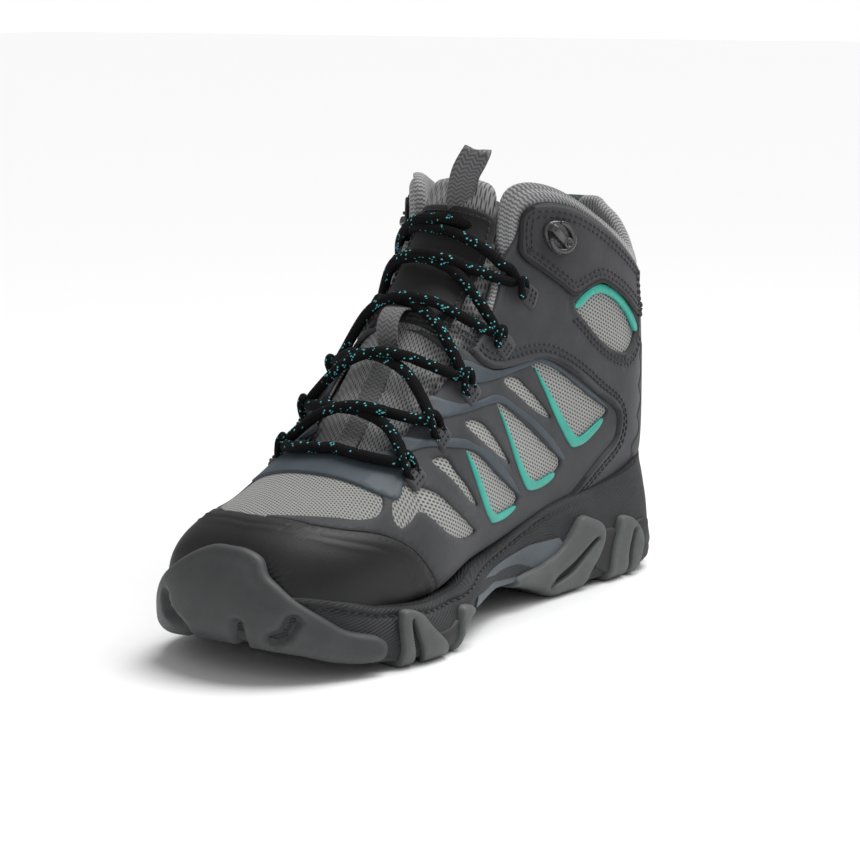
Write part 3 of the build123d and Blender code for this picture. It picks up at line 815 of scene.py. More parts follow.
def ribbed_knit(name, base, light, pitch=2.1, angle=0.0):
    """Ribbed lining cloth: soft parallel ribs with small stitches, with painted shade: darker in the
    valleys, lighter on the rib tops.
    """
    m = Shade(name, roughness=0.88, specular=0.2, sheen=0.3)
    x, y, _ = m.split(m.turned(m.cloth(), angle))
    zig = m.times(m.math("PINGPONG", y, 1.0), 0.55)
    rib = m.math("SINE", m.times(m.plus(x, zig), 2 * pi / pitch))
    knit = m.math("SINE", m.times(y, 2 * pi / 0.9))
    ribs = m.ramp(rib, -0.9, 0.7)
    height = m.times(ribs, m.plus(m.times(knit, 0.2), 0.8))
    fuzz = m.noise(m.space(), 2200.0, 2.0)
    # painted shade: the colour follows the rib relief, dark in the valleys and light on the rib tops
    tone = m.mix(m.ramp(height, 0.1, 0.8), base, light)
    tone = m.mix(m.times(fuzz, 0.4), tone, tint(*base[:3], 0.8))
    m.bump(height, 0.4, 0.7)
    m.bump(fuzz, 0.1, 0.5)
    return m.done(tone)


def webbing(name, base, light, pitch=3.4):
    """Woven tape: zigzag twill along its length, with painted shade: darker where the weave is low."""
    m = Shade(name, roughness=0.8, specular=0.25, sheen=0.2)
    x, y, _ = m.split(m.cloth())
    zig = m.math("PINGPONG", y, 2.2)
    line = m.math("SINE", m.times(m.plus(x, m.times(zig, 0.8)),
                                  2 * pi / pitch * 1.6))
    thread = m.math("SINE", m.times(x, 2 * pi / 0.55))
    edge = m.math("SINE", m.times(y, 2 * pi / 0.9))
    height = m.plus(m.times(m.ramp(line, -0.3, 0.6), 0.6),
                    m.times(m.times(thread, edge), 0.35))
    fuzz = m.noise(m.space(), 2400.0, 2.0)
    # painted shade: the colour follows the weave relief, darker where it is low
    tone = m.mix(m.ramp(height, 0.0, 0.75), base, light)
    tone = m.mix(m.times(fuzz, 0.35), tone, tint(*base[:3], 0.9))
    m.bump(height, 0.35, 0.8)
    m.bump(fuzz, 0.08, 0.5)
    return m.done(tone)


def braid(name, base, light, fleck):
    """Round braided lace: crossing yarns with small bright flecks, and painted shade in the gaps
    between the yarns.
    """
    m = Shade(name, roughness=0.8, specular=0.1)
    x, y, _ = m.split(m.cloth())
    right = m.math("SINE", m.times(m.plus(x, y), 2 * pi / 1.9))
    left = m.math("SINE", m.times(m.minus(x, y), 2 * pi / 1.9))
    yarn = m.times(right, left)
    height = m.ramp(yarn, -0.6, 0.8)
    cell_x = m.plus(x, y)
    cell_y = m.minus(x, y)
    spots = m.join(m.times(cell_x, 1 / 1.9), m.times(cell_y, 1 / 1.9))
    pick = m.node("ShaderNodeTexWhiteNoise", {
        "Vector": m.join(m.math("FLOOR", m.times(cell_x, 1 / 1.9)),
                         m.math("FLOOR", m.times(cell_y, 1 / 1.9)))},
        noise_dimensions="3D").outputs["Value"]
    fx, fy, _ = m.split(spots)
    dx = m.math("ABSOLUTE", m.minus(m.math("FRACT", fx), 0.5))
    dy = m.math("ABSOLUTE", m.minus(m.math("FRACT", fy), 0.5))
    spot = m.times(m.ramp(dx, 0.36, 0.28), m.ramp(dy, 0.28, 0.20))
    groups = m.noise(m.space(), 120.0, 1.0)
    chosen = m.times(m.math("GREATER_THAN", pick, 0.74),
                     m.math("GREATER_THAN", groups, 0.50))
    lit = m.times(chosen, spot)
    fuzz = m.noise(m.space(), 2600.0, 2.0)
    # painted shade: the colour follows the yarn relief, darker in the gaps between yarns
    tone = m.mix(height, base, light)
    tone = m.mix(m.times(fuzz, 0.3), tone, light)
    tone = m.mix(lit, tone, fleck)
    m.bump(height, 0.35, 0.8)
    m.bump(fuzz, 0.08, 0.4)
    return m.done(tone)


def gloss_plastic(name, base):
    m = Shade(name, roughness=0.22, specular=0.55, coat=0.4)
    p = m.space()
    scratches = m.noise(m.turned(p, 0.4, (1, 12, 1)), 420.0, 3.0)
    clouds = m.noise(p, 90.0, 3.0)
    tone = m.mix(m.times(m.edge_wear(), 0.5), base, grey(0.09))
    m.bump(scratches, 0.015, 0.4)
    m.set("Roughness", m.plus(m.times(clouds, 0.22), 0.12))
    return m.done(tone)


def plain_part(name, base, light, scale=300.0, rough=0.7):
    """Boards, foams and stiffeners hidden inside: fibrous, mottled."""
    m = Shade(name, roughness=rough, specular=0.25)
    p = m.space()
    mottled = m.noise(p, scale, 5.0, 0.7)
    fibre = m.noise(m.turned(p, 0.3, (1, 9, 1)), scale * 2, 3.0)
    m.bump(mottled, 0.2, 0.5)
    m.bump(fibre, 0.1, 0.4)
    return m.done(m.mix(m.ramp(mottled, 0.3, 0.7), base, light))


NUBUCK = nubuck("nubuck_charcoal", tint(0.034, 0.035, 0.039), tint(0.056, 0.057, 0.062))
# painted light: a lighter copy of the charcoal nubuck, standing for the stronger light higher up on
# the collar patch; also used on the heel strip and the loop tabs
NUBUCK_LIT = nubuck("nubuck_lit_copy", tint(0.041, 0.041, 0.045), tint(0.065, 0.065, 0.071))
BLACK_PATCH = nubuck("tongue_patch_black", tint(0.014, 0.014, 0.015), tint(0.026, 0.026, 0.028))
STAY = toe_leather("heel_stay_black", tint(0.014, 0.014, 0.016), tint(0.026, 0.026, 0.029))
TOE = toe_leather("toe_black", tint(0.005, 0.005, 0.006), tint(0.010, 0.010, 0.011))
VAMP_MESH = mesh_cloth("mesh_vamp", tint(0.36, 0.36, 0.345), tint(0.045, 0.045, 0.045), radians(22))
SIDE_MESH = mesh_cloth("mesh_side", tint(0.42, 0.42, 0.405), tint(0.022, 0.022, 0.022), radians(24),
                       2.2, 1.6)
FILM = film("film_blue_grey", tint(0.038, 0.052, 0.064), tint(0.052, 0.069, 0.082), 0.6, 0.4)
TEAL = film("trim_teal", tint(0.025, 0.31, 0.25), tint(0.038, 0.39, 0.31), 0.42)
SIDEWALL = moulded("sole_black", tint(0.026, 0.027, 0.029), tint(0.040, 0.041, 0.043), 1.25, 0.62)
RUBBER = moulded("rubber_black", tint(0.020, 0.020, 0.021), tint(0.033, 0.033, 0.034), 0.0, 0.6)
LUG = moulded("lug_grey", tint(0.075, 0.081, 0.079), tint(0.10, 0.107, 0.104), 0.0, 0.58)
BUMPER = moulded("bumper_grey", tint(0.044, 0.047, 0.048), tint(0.060, 0.064, 0.065), 0.0, 0.5, 1300)
SHANK = moulded("shank_blue", tint(0.050, 0.060, 0.070), tint(0.068, 0.082, 0.094), 0.0, 0.42)
LINING = ribbed_knit("lining_grey", tint(0.075, 0.075, 0.077), tint(0.21, 0.21, 0.215))
ROLL = ribbed_knit("roll_grey", tint(0.16, 0.16, 0.163), tint(0.46, 0.46, 0.47), 1.9)
TONGUE_MESH = mesh_cloth("tongue_mesh", tint(0.33, 0.33, 0.335), tint(0.03, 0.03, 0.032), 1.35,
                         2.6, 1.2)
WEBBING = webbing("webbing_grey", tint(0.085, 0.085, 0.088), tint(0.24, 0.24, 0.246))
DARK_WEBBING = webbing("webbing_dark", tint(0.020, 0.034, 0.036), tint(0.05, 0.085, 0.085))
LACE = braid("lace_black", tint(0.003, 0.003, 0.003), tint(0.009, 0.009, 0.010),
             tint(0.13, 0.62, 0.66))
THREAD = webbing("thread_dark", tint(0.022, 0.022, 0.024), tint(0.050, 0.050, 0.054), 1.0)
HOOK = gloss_plastic("hook_black", grey(0.03))
BOARD = plain_part("board", tint(0.36, 0.31, 0.23), tint(0.46, 0.41, 0.32))
STIFF = plain_part("stiffener", tint(0.42, 0.40, 0.34), tint(0.52, 0.5, 0.43), 140.0)
FOOTBED = plain_part("footbed_grey", tint(0.055, 0.060, 0.063), tint(0.095, 0.10, 0.105), 800.0, 0.9)


# ---------------------------------------------------------------- outlines of the upper, (y, z)
CAP_EDGE = [(-52, 20), (-64, 35), (-77, 48), (-91, 56), (-107, 60)]
CAP_END = (-114, 62)       # where the edge turns in over the top, (y, z)
CAP_FRONT = (0, -118)      # its middle, (x, y)
CAP_RIDGES = (4.5, 8.5)    # embossed lines, mm in from the edge
ANKLE_EDGE = [(-14, 130), (-3, 121), (3, 114), (11, 111), (24, 111), (39, 112), (50, 110),
              (66, 102), (83, 91), (97, 83), (101, 76), (99, 67), (88, 60), (74, 51), (58, 40),
              (48, 30)]
WINDOWS = [
    [(-78, 65), (-72, 70), (-64, 72), (-54, 68), (-45, 60), (-30, 49), (-27, 46), (-34, 45),
     (-45, 47), (-54, 52), (-62, 59), (-67, 62), (-73, 59), (-79, 57), (-81, 60)],
    [(-48, 79), (-45, 81), (-40, 80), (-37, 74), (-30, 66), (-24, 57), (-31, 61), (-40, 70)],
    [(-26, 81), (-24, 81), (-16, 77), (-4, 67), (9, 58), (13, 54), (11, 51), (5, 50), (-6, 49),
     (-10, 51), (-14, 57), (-20, 68)],
    [(-21, 91), (-18, 93), (-12, 92), (-6, 88), (2, 79), (8, 70), (-2, 76), (-12, 83)],
    [(5, 97), (9, 96), (18, 90), (33, 79), (45, 70), (52, 65), (51, 61), (43, 58), (31, 58),
     (26, 59), (21, 65), (14, 76)],
    [(14, 105), (17, 107), (24, 106), (29, 102), (38, 94), (46, 85), (34, 90), (23, 98)],
    [(35, 111), (39, 111), (48, 109), (61, 101), (80, 89), (91, 83), (90, 80), (83, 77),
     (71, 73), (66, 73), (62, 78), (52, 89)],
]
TEALS = [
    [(-27, 81), (-20, 68), (-14, 56), (-9, 50.5), (-3, 49.5), (10, 50.5), (9, 48.5), (1, 46.5),
     (-10, 46.5), (-14, 49), (-19, 56), (-25, 70)],
    [(5, 95), (14, 76), (21, 64.5), (27, 59), (34, 58), (46, 59.5), (44, 56.5), (34, 54.5),
     (24, 55), (20, 58), (15, 66), (10, 78)],
    [(37, 109), (52, 88.5), (62, 77), (67, 73), (73, 73.5), (87, 79), (85, 75), (74, 69.5),
     (64, 68.5), (60, 71), (55, 77), (47, 89)],
]
FILMS = [
    [(-53, 89), (-46, 88), (-39, 88), (-26, 86), (-21, 83.5), (-10, 78), (3, 68), (15, 55),
     (10, 57.5), (-3, 67), (-16, 77.5), (-24, 81.5), (-38, 84), (-47, 85), (-57, 83)],
    [(-32, 104), (-26, 102), (-19, 100), (-6, 100), (4, 101), (11, 99), (19, 94), (32, 86),
     (45, 76), (55, 66), (53, 64.5), (43, 72.5), (30, 83), (17, 91.5), (9, 96.5), (2, 97.5),
     (-8, 97), (-21, 96), (-36, 96)],
    [(-8, 117), (1, 113.5), (9, 111), (19, 111), (29, 112), (38, 113), (46, 111.5), (55, 107),
     (68, 99), (83, 90), (92, 83), (80, 89.5), (66, 98), (53, 106), (42, 110.5), (34, 110),
     (16, 108), (3, 107), (-10, 108)],
]
ANKLE_WINDOW = [(67, 134), (71, 137.5), (76, 140.5), (86, 143), (92, 141.5), (98, 138), (110, 129.5),
                (119, 120), (120, 118), (116, 111.5), (108, 108), (96, 111), (84, 118), (75, 126)]
ANKLE_TEAL = [(67, 134), (76, 140.5), (86, 143), (98, 138.5), (110, 129.8), (120, 119.5), (117.5, 117),
              (108, 126.5), (97, 134.5), (86, 138.5), (78, 137), (71, 133)]
PATCH_TOP = [(41.5, 159), (42.5, 168), (44, 177), (48, 181), (57, 181.3), (68, 178.3), (85, 169.8),
             (98, 161.8), (110, 153.8), (120, 147)]
PATCH_LOW = [(124, 124), (116, 127), (106, 134), (96, 140), (86, 144.5), (78, 143.5), (67, 140),
             (59, 145), (50, 151.5)]
RIM_BACK = [(89, 171), (105, 161.5), (115, 155.5), (123, 153), (129, 155), (134, 162), (137, 170.5),
            (138.8, 177)]
RIM = {1: [(33, 157), (35.5, 166), (37.5, 176), (39, 184), (42, 188.8), (48, 190.4), (58, 188),
           (71, 181.5), *RIM_BACK],
       -1: [(33, 155), (36, 164), (38, 174), (39.5, 184), (42, 189.5), (48, 192), (58, 190),
            (71, 184), *RIM_BACK]}
ROLL_BACK = [(68, 178.5), (85, 170), (98, 162), (110, 154), (120, 147), (129, 144), (138, 142.5)]
ROLL_LOW = {1: [(40.5, 154), (42, 163), (43, 172), (44.5, 178), (49, 181.3), (57, 181.5), *ROLL_BACK],
            -1: [(40.5, 152), (43, 162), (44.5, 172), (46, 179), (50, 182.5), (57, 182.5), *ROLL_BACK]}
STAY_EDGE = [(126, 112), (123, 104), (126, 97), (121, 90), (125, 83), (119, 76), (123, 69),
             (116, 62), (119, 55), (112, 47), (112, 38)]
VAMP_WINDOW = [(-40, -84), (-34, -77), (-20, -78), (0, -80), (22, -78), (33, -78), (38, -84),
               (37, -92), (31, -101), (18, -111), (2, -116), (-14, -117), (-28, -109), (-38, -97)]

# throat outline: across the boot, and up the instep from the tongue's hinge
HINGE = (-64, 80)
SLOPE = (0.701, 0.713)
THROAT_OUTER = [(-14, -1), (-21, 3), (-25, 10), (-29, 40), (-34, 75), (-35, 100), (-32, 130),
                (-31, 165)]
THROAT_INNER = [(15, -1), (21, 3), (24, 10), (26, 40), (25, 75), (21, 110), (15, 145), (14, 165)]
TONGUE_PATCH = [(-27, 74), (12, 73), (16, 80), (15, 100), (14, 133), (10, 138.5), (-22, 138.5),
                (-27, 133), (-30, 100), (-30, 78)]
INSTEP = np.array([[1.0, 0.0], [0.0, SLOPE[0]], [0.0, SLOPE[1]]])


def on_instep(points):
    """Upper chart coordinates of (across, up the instep) points."""
    return UPPER.find(INSTEP, points, *TOP_HALF, origin=(0.0, HINGE[0], HINGE[1]))


def curve_on_side(points, side, per_span=8, closed=False):
    """A smooth chart curve through (y, z) points."""
    return on_side(rounded(points, closed, per_span), side)


THROAT_EDGE = {1: on_instep(rounded(THROAT_INNER, False, 6)),
               -1: on_instep(rounded(THROAT_OUTER, False, 6))}


def placed(thing, body, slot, *nodes):
    """Puts a piece on a body, in place of the CAD nodes named."""
    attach(thing, body)
    if nodes:
        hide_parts(*nodes)


def fixed(thing, slot, *nodes):
    """A piece that stays with the main body of the boot."""
    placed(thing, "root", slot, *nodes)


# ---------------------------------------------------------------- upper cloth and panels
BINDING_FROM = 0.83      # station above which the roll itself binds the throat edge
CLOTH_LIFT = -2.2
CLOTH_THICK = 1.1
PANEL_THICK = 1.15
TRIM_LIFT = 0.15


def below_roll(side, drop):
    """Chart line that drop mm lower than the lower edge of the collar roll."""
    line = [(y, z - drop) for y, z in ROLL_LOW[side] if y > 44]
    return on_side(rounded(line, False, 5), side)


def side_cloth(side):
    """The knitted quarter under the panels, from the vamp to the heel."""
    top = below_roll(side, 2.0)
    throat = [p for p in THROAT_EDGE[side].tolist() if p[0] < BINDING_FROM]
    far, back = (0.06, 0.004) if side > 0 else (0.94, 0.996)
    loop = [(0.28, far), (0.28, 0.5), (throat[0][0], 0.5), *throat, *top.tolist(),
            (top[-1][0], back), (0.76, back)]
    return panel(f"quarter_cloth_{MIRROR[side]}", UPPER, loop, lift=CLOTH_LIFT,
                 thick=CLOTH_THICK, edge=0.8, spacing=3.0, material=SIDE_MESH, uv=uv_side, hem=2.5)


def vamp_cloth():
    loop = [(0.075, 0.30), (0.12, 0.26), (0.20, 0.24), (0.33, 0.25), (0.36, 0.34), (0.345, 0.5),
            (0.36, 0.66), (0.33, 0.75), (0.20, 0.76), (0.12, 0.74), (0.075, 0.70)]
    return panel("vamp_cloth", UPPER, rounded(loop, per_span=5), lift=CLOTH_LIFT + 0.1,
                 thick=CLOTH_THICK + 0.35, spacing=2.6, material=VAMP_MESH, uv=uv_top, hem=2.0)


def toe_cap():
    inner = on_side(rounded(CAP_EDGE + [CAP_END], False, 6), 1)
    outer = on_side(rounded(CAP_EDGE + [CAP_END], False, 6), -1)
    front = on_top([CAP_FRONT])
    loop = [(0.02, 0.93), (0.02, 0.07), (0.10, 0.05), (0.25, 0.07), *inner.tolist(), *front.tolist(),
            *outer[::-1].tolist(), (0.25, 0.93), (0.10, 0.95)]

    def ridges(points, gap, chart):
        """Two embossed lines that follow the edge."""
        return sum(0.42 * np.exp(-((gap - at) / 0.75) ** 2) for at in CAP_RIDGES)

    rings = [at + step for at in CAP_RIDGES for step in (-1.3, 0.0, 1.3)]
    return panel("toe_cap", UPPER, np.array(loop), lift=-0.9, thick=1.4, edge=1.0, spacing=2.4,
                 material=TOE, uv=uv_top, relief=ridges, rings=rings)


def quarter_overlay(side):
    cap = on_side(rounded(CAP_EDGE + [CAP_END], False, 6), side)
    throat = THROAT_EDGE[side]
    ankle = curve_on_side(ANKLE_EDGE, side)
    order = on_top(rounded(VAMP_WINDOW, per_span=5))
    keep = order[:, 1] < 0.498 if side > 0 else order[:, 1] > 0.502
    index = np.where(keep)[0]
    jump = np.where(np.diff(index) > 1)[0]
    if len(jump):
        index = np.concatenate([index[jump[0] + 1:], index[:jump[0] + 1]])
    lean = order[index]
    if lean[0][0] > lean[-1][0]:
        lean = lean[::-1]
    ankle_top = ankle[0]
    low = [p for p in throat.tolist() if p[0] < ankle_top[0] - 0.004]
    loop = [*cap.tolist(), (lean[0][0] - 0.012, 0.5), (lean[0][0] - 0.002, 0.5), *lean.tolist(),
            (lean[-1][0] + 0.002, 0.5), (throat[0][0] - 0.002, 0.5), *low, *ankle.tolist()]
    foot = 0.07 if side > 0 else 0.93
    loop += [(0.62, foot), (0.50, foot)]
    holes = [curve_on_side(shape, side, 5, True) for shape in WINDOWS]
    return panel(f"quarter_overlay_{MIRROR[side]}", UPPER, np.array(loop), holes,
                 lift=-1.1, thick=PANEL_THICK, edge=0.55, spacing=2.6, material=NUBUCK, uv=uv_side)


def ankle_overlay(side):
    throat = THROAT_EDGE[side]
    ankle = curve_on_side(ANKLE_EDGE, side)
    upper_throat = [p for p in throat.tolist() if p[0] > ankle[0][0] - 0.004]
    top = below_roll(side, -1.0)
    back = 0.0 if side > 0 else 1.0
    loop = [*ankle[::-1].tolist(), *[p for p in upper_throat if p[0] < BINDING_FROM],
            *top.tolist(), (top[-1][0], back),
            (0.80, back), (0.765, back), (0.735, 0.07 if side > 0 else 0.93)]
    hole = curve_on_side(ANKLE_WINDOW, side, 5, True)

    def rolled(points, gap, chart):
        return 0.5 * np.exp(-((gap - 1.6) / 1.3) ** 2) - 0.3 * np.exp(-((gap - 4.2) / 0.8) ** 2)

    return panel(f"ankle_overlay_{MIRROR[side]}", UPPER, np.array(loop), [hole], lift=-0.9,
                 thick=2.3, edge=1.1, spacing=2.6, material=NUBUCK, uv=uv_side, relief=rolled,
                 sink=1.2, rings=(1.9, 3.2, 4.2, 5.4))


def edge_cord(name, surface, loop, lift, radius, material, squash=0.6, closed=True):
    """A thin bound edge that follows a chart line."""
    line = np.vstack([loop, loop[:1]]) if closed else np.asarray(loop)
    return tube(name, surface.at(line, lift), radius, material, sides=10, squash=squash,
                up=surface.normals(line))


def collar_patch(side):
    top = rounded(PATCH_TOP, False, 5)
    low = rounded(PATCH_LOW, False, 5)
    loop = on_side(np.vstack([top, low]), side)
    # painted light: the collar patch takes the lighter copy of the charcoal nubuck
    return panel(f"collar_patch_{MIRROR[side]}", UPPER, loop, lift=1.3, thick=1.0, edge=0.9,
                 spacing=2.6, material=NUBUCK_LIT, uv=uv_side, sink=1.0)


def patch_binding(side):
    """Black bound edge of the collar patch, below the padded roll."""
    loop = on_side(rounded([*PATCH_LOW, *PATCH_TOP[:4]], False, 6), side)
    return edge_cord(f"patch_binding_{MIRROR[side]}", UPPER, loop, 1.9, 1.15, TOE, 0.7, False)


def throat_binding(side):
    """Ribbed binding down the throat edge, from the front corner of the collar."""
    w_from = on_instep([(0, 88)])[0][0]
    line = np.array([p for p in THROAT_EDGE[side].tolist() if w_from < p[0] < BINDING_FROM + 0.01])
    return edge_cord(f"throat_binding_{MIRROR[side]}", UPPER, line, -1.2, 2.6, ROLL, 0.75, False)


def small_panels(name, shapes, side, lift, thick, material, edge=0.5):
    made = [panel(name, UPPER, curve_on_side(shape, side, 4, True), lift=lift, thick=thick,
                  edge=edge, spacing=1.8, material=material, uv=uv_side, hem=0.9, sink=0.9)
            for shape in shapes]
    return merge(f"{name}_{MIRROR[side]}", made)


def edge_stitches(side):
    """Double rows of thread along the ankle panel, its window and the collar patch."""
    ankle = curve_on_side(ANKLE_EDGE, side)
    far = on_side([(120, 150), (20, 178)], side)
    above = np.vstack([ankle, far])
    rows = [beside(UPPER, ankle, gap, above) for gap in (4.4, 7.2)]
    lines = [(row, 1.35) for row in rows]
    window = curve_on_side(ANKLE_WINDOW, side, 6, True)
    grown = [ring_beside(UPPER, window, gap, False) for gap in (3.2, 5.8)]
    lower = [ring[on_low(ring)] for ring in grown]
    lines += [(line, 1.35) for line in lower]
    patch = on_side(np.vstack([rounded(PATCH_TOP, False, 5), rounded(PATCH_LOW, False, 5)]), side)
    for gap in (2.6, 5.0):
        ring = ring_beside(UPPER, patch, gap, True)
        lines.append((np.vstack([ring, ring[:1]]), 2.25))
    made = [stitches("stitch", UPPER, [line], lift, THREAD) for line, lift in lines]
    fixed(merge(f"edge_stitches_{MIRROR[side]}", made), "lace_black")


def on_low(ring):
    """Which points of a ring on the ankle panel lie below the collar patch."""
    place = UPPER.at(ring)
    return place[:, 2] < np.interp(place[:, 1], [67, 86, 106, 124], [131, 134, 124, 114])


# ---------------------------------------------------------------- sole
LUG_SHAPES = {
    "forefoot_lug_front": [(-91, 24), (-85, 24.5), (-80, 22), (-75, 16), (-67, 8), (-63, 3), (-62, -2),
                           (-64, -14), (-90, -14), (-92, -2), (-91, 10)],
    "forefoot_lug_rear": [(-52, 18), (-47, 19), (-42, 17), (-39, 14), (-43, 10), (-50, -1),
                          (-54, -14), (-62, -14), (-60, -2), (-55, 8)],
    "heel_lug_front": [(66, 35), (75, 33.5), (83, 29), (84, 22), (79, 14), (71, 7), (62, -2),
                       (60, -14), (30, -14), (17, -4), (14, 14), (17, 17), (36, 18.5), (53, 24)],
    "heel_lug_middle": [(98, 30), (106, 29), (113, 23.5), (116, 16), (113, 8), (107, -2),
                        (106, -14), (88, -14), (86, -2), (89, 12), (94, 23)],
    "heel_lug_rear": [(138, 28), (142, 28), (146, 22), (146.5, 14), (145, 7), (143, -2), (142, -8),
                      (136, -10), (134, -2), (135, 14)],
}
LUG_SLOTS = {
    "forefoot_lug_front": [(-86, 19), (-84.5, 19), (-79, 2), (-78, -3), (-82, -3), (-84, 2)],
    "heel_lug_front": [(78, 22), (76, 23), (60, 15), (44, 9.5), (44, 7.5), (60, 11)],
    "heel_lug_middle": [(109, 22), (107.5, 22), (103, 12), (102, 4), (104, 4), (105.5, 11)],
}
BUMPER_EDGE = [(-6, -146, 54), (5, -146, 54.5), (13, -145, 54), (20, -142, 51), (23, -140, 45),
               (27, -138, 41), (32, -133, 35), (39, -124, 27), (43, -115, 21), (48, -103, 17),
               (50, -98, 12), (48, -102, 6), (41, -120, 8), (33, -132, 12), (18, -143, 14),
               (4, -146, 14), (-12, -145, 13), (-24, -141, 12), (-34, -135, 12), (-40, -130, 18),
               (-40, -130, 27), (-35, -135, 36), (-28, -140, 43), (-17, -143, 50)]
BUMPER_DIPS = [((-29, 30), (-27, 24), (-17, 19)), ((11.5, 24.5), (12, 19)),
               ((24.5, 19.5), (28.5, 21.5), (31, 27))]

DIP_RADIUS, DIP_DEPTH = 2.5, 4.2
STITCH_DROP = 3.4        # the stitch groove's distance below the top of the wall


def grid_mesh(name, points, uv, material, wrap_rows=False, flip=False):
    """A sheet from an array of points (rows, columns); wrap joins the last row to the first."""
    rows, cols = points.shape[:2]
    faces = []
    last_row = rows if wrap_rows else rows - 1
    for i in range(last_row):
        i1 = (i + 1) % rows
        for j in range(cols - 1):
            quad = (i * cols + j, i1 * cols + j, i1 * cols + j + 1, i * cols + j + 1)
            faces.append(quad[::-1] if flip else quad)
    return make_object(name, points.reshape(-1, 3), faces, material, uv.reshape(-1, 2))


def wall_gap(line):
    """How far the upper stands in from the wall at each chart point of a line."""
    return nearest_distance(UPPER.points.reshape(-1, 3)[::5], SOLE.at(line))


def wall_lean(gap):
    """How far the wall's top edge leans in to meet the upper."""
    return np.clip(gap - 1.5, 0, 6)


def sidewall():
    """The foam wall all round: foot, face with a soft swell, stitched lip and shoulder."""
    count = 520
    a = np.linspace(0, ROUND, count, endpoint=False)
    y = np.interp(a, SOLE.a, SOLE_PATH[:, 1])
    ground = smooth_line_at(TREAD_LINE, y) + BAND + CORNER
    feather = smooth_line_at(FEATHER_LINE, y) - ground
    gap = wall_gap(np.stack([a, feather], axis=1))
    lean = wall_lean(gap)
    rows = []
    marks = []
    for v in (-UNDER + 1, -14.0, -8.0, -5.0, -2.5, 0.0):
        rows.append(SOLE.at(np.stack([a, np.full(count, v)], axis=1), 0.0))
        marks.append(np.full(count, v))
    steps = 18
    for k in range(1, steps + 1):
        u = k / steps
        v = feather * u
        groove = -1.1 * np.exp(-((feather - v - STITCH_DROP) / 0.9) ** 2)
        lip = 0.9 * np.exp(-((feather - v - 1.2) / 1.3) ** 2)
        rows.append(SOLE.at(np.stack([a, v], axis=1), groove + lip - lean * u**3))
        marks.append(v)
    for part, rise in ((0.0, 0.5), (0.25, 0.8), (0.6, 0.6), (1.0, 0.0)):
        lift = -0.3 - lean - (gap - lean + 2.5) * part
        rows.append(SOLE.at(np.stack([a, feather + rise], axis=1), lift))
        marks.append(feather + rise - lift)
    points = np.stack(rows, axis=1)
    uv = np.stack([np.repeat(a[:, None], len(rows), 1), np.stack(marks, axis=1)], axis=-1)
    return grid_mesh("sidewall", points, uv, SIDEWALL, wrap_rows=True)


def feather_stitches():
    """The row of coarse thread along the top of the wall."""
    a = np.linspace(1, ROUND - 1, 500)
    y = np.interp(a, SOLE.a, SOLE_PATH[:, 1])
    ground = smooth_line_at(TREAD_LINE, y) + BAND + CORNER
    top = smooth_line_at(FEATHER_LINE, y) - ground
    lean = wall_lean(wall_gap(np.stack([a, top], axis=1))) * (1 - STITCH_DROP / top) ** 3
    line = np.stack([a, top - STITCH_DROP], axis=1)
    thing = stitches("feather_stitches", SOLE, [line], -1.0, THREAD, 3.0, 1.2, 0.5)
    for vertex in thing.data.vertices:
        place = np.array(vertex.co) / MM
        near = int(((SOLE.at(line) - place) ** 2).sum(1).argmin())
        vertex.co -= Vector(SOLE.normals(line[near:near + 1])[0] * lean[near] * MM)
    return thing


def lugs(names, side):
    made = []
    for name in names:
        shape = on_wall(rounded(LUG_SHAPES[name], True, 4), side)
        holes = []
        if name in LUG_SLOTS:
            holes = [on_wall(rounded(LUG_SLOTS[name], True, 4), side)]
        made.append(panel(f"{name}_{MIRROR[side]}", SOLE, shape, holes, lift=0.0, thick=BAND,
                          edge=0.9, spacing=2.4, material=LUG, uv=uv_sole, sink=0.8, hem=1.1))
    return made


def lug_webs(side):
    """Glossy dark ribs that tie the lugs together low on the wall."""
    webs = [[(-77, 16), (-70, 12), (-60, 12), (-54, 14), (-55, 7), (-61, 3), (-68, 5)],
            [(80, 24), (88, 26), (95, 24), (92, 14), (88, 6), (80, 8), (76, 12)],
            [(112, 24), (118, 26), (124, 24), (122, 12), (116, 8), (113, 12)]]
    made = [panel("web", SOLE, on_wall(rounded(w, True, 4), side), lift=-0.2, thick=1.3, edge=1.0,
                  spacing=2.4, material=RUBBER, uv=uv_sole) for w in webs]
    return merge(f"lug_webs_{MIRROR[side]}", made)


def segment_distance(points, start, end):
    """Distance of each flat point from the straight line between two ends."""
    start, end = np.array(start, float), np.array(end, float)
    along = end - start
    u = np.clip(((points - start) @ along) / (along @ along), 0, 1)
    return np.linalg.norm(points - start - u[:, None] * along, axis=1)


def toe_bumper():
    outer = rounded(on_toe(BUMPER_EDGE), True, 5)

    def lobe(points, gap, chart):
        swell = 1.4 * np.clip(gap / 9, 0, 1)
        ridge = 0.5 * np.exp(-((gap - 3.0) / 1.2) ** 2)
        flat = points[:, [0, 2]]
        near = [np.min([segment_distance(flat, *ends) for ends in zip(dip[:-1], dip[1:])], axis=0)
                for dip in BUMPER_DIPS]
        dips = sum(np.exp(-(distance / DIP_RADIUS) ** 4) for distance in near)
        return swell + ridge - DIP_DEPTH * dips * np.clip(gap / 2, 0, 1)

    return panel("toe_bumper", SOLE, outer, lift=-0.6, thick=3.2, edge=1.6, spacing=1.5,
                 material=BUMPER, uv=uv_sole, relief=lobe, sink=2.0, rings=(3.0, 5.0))


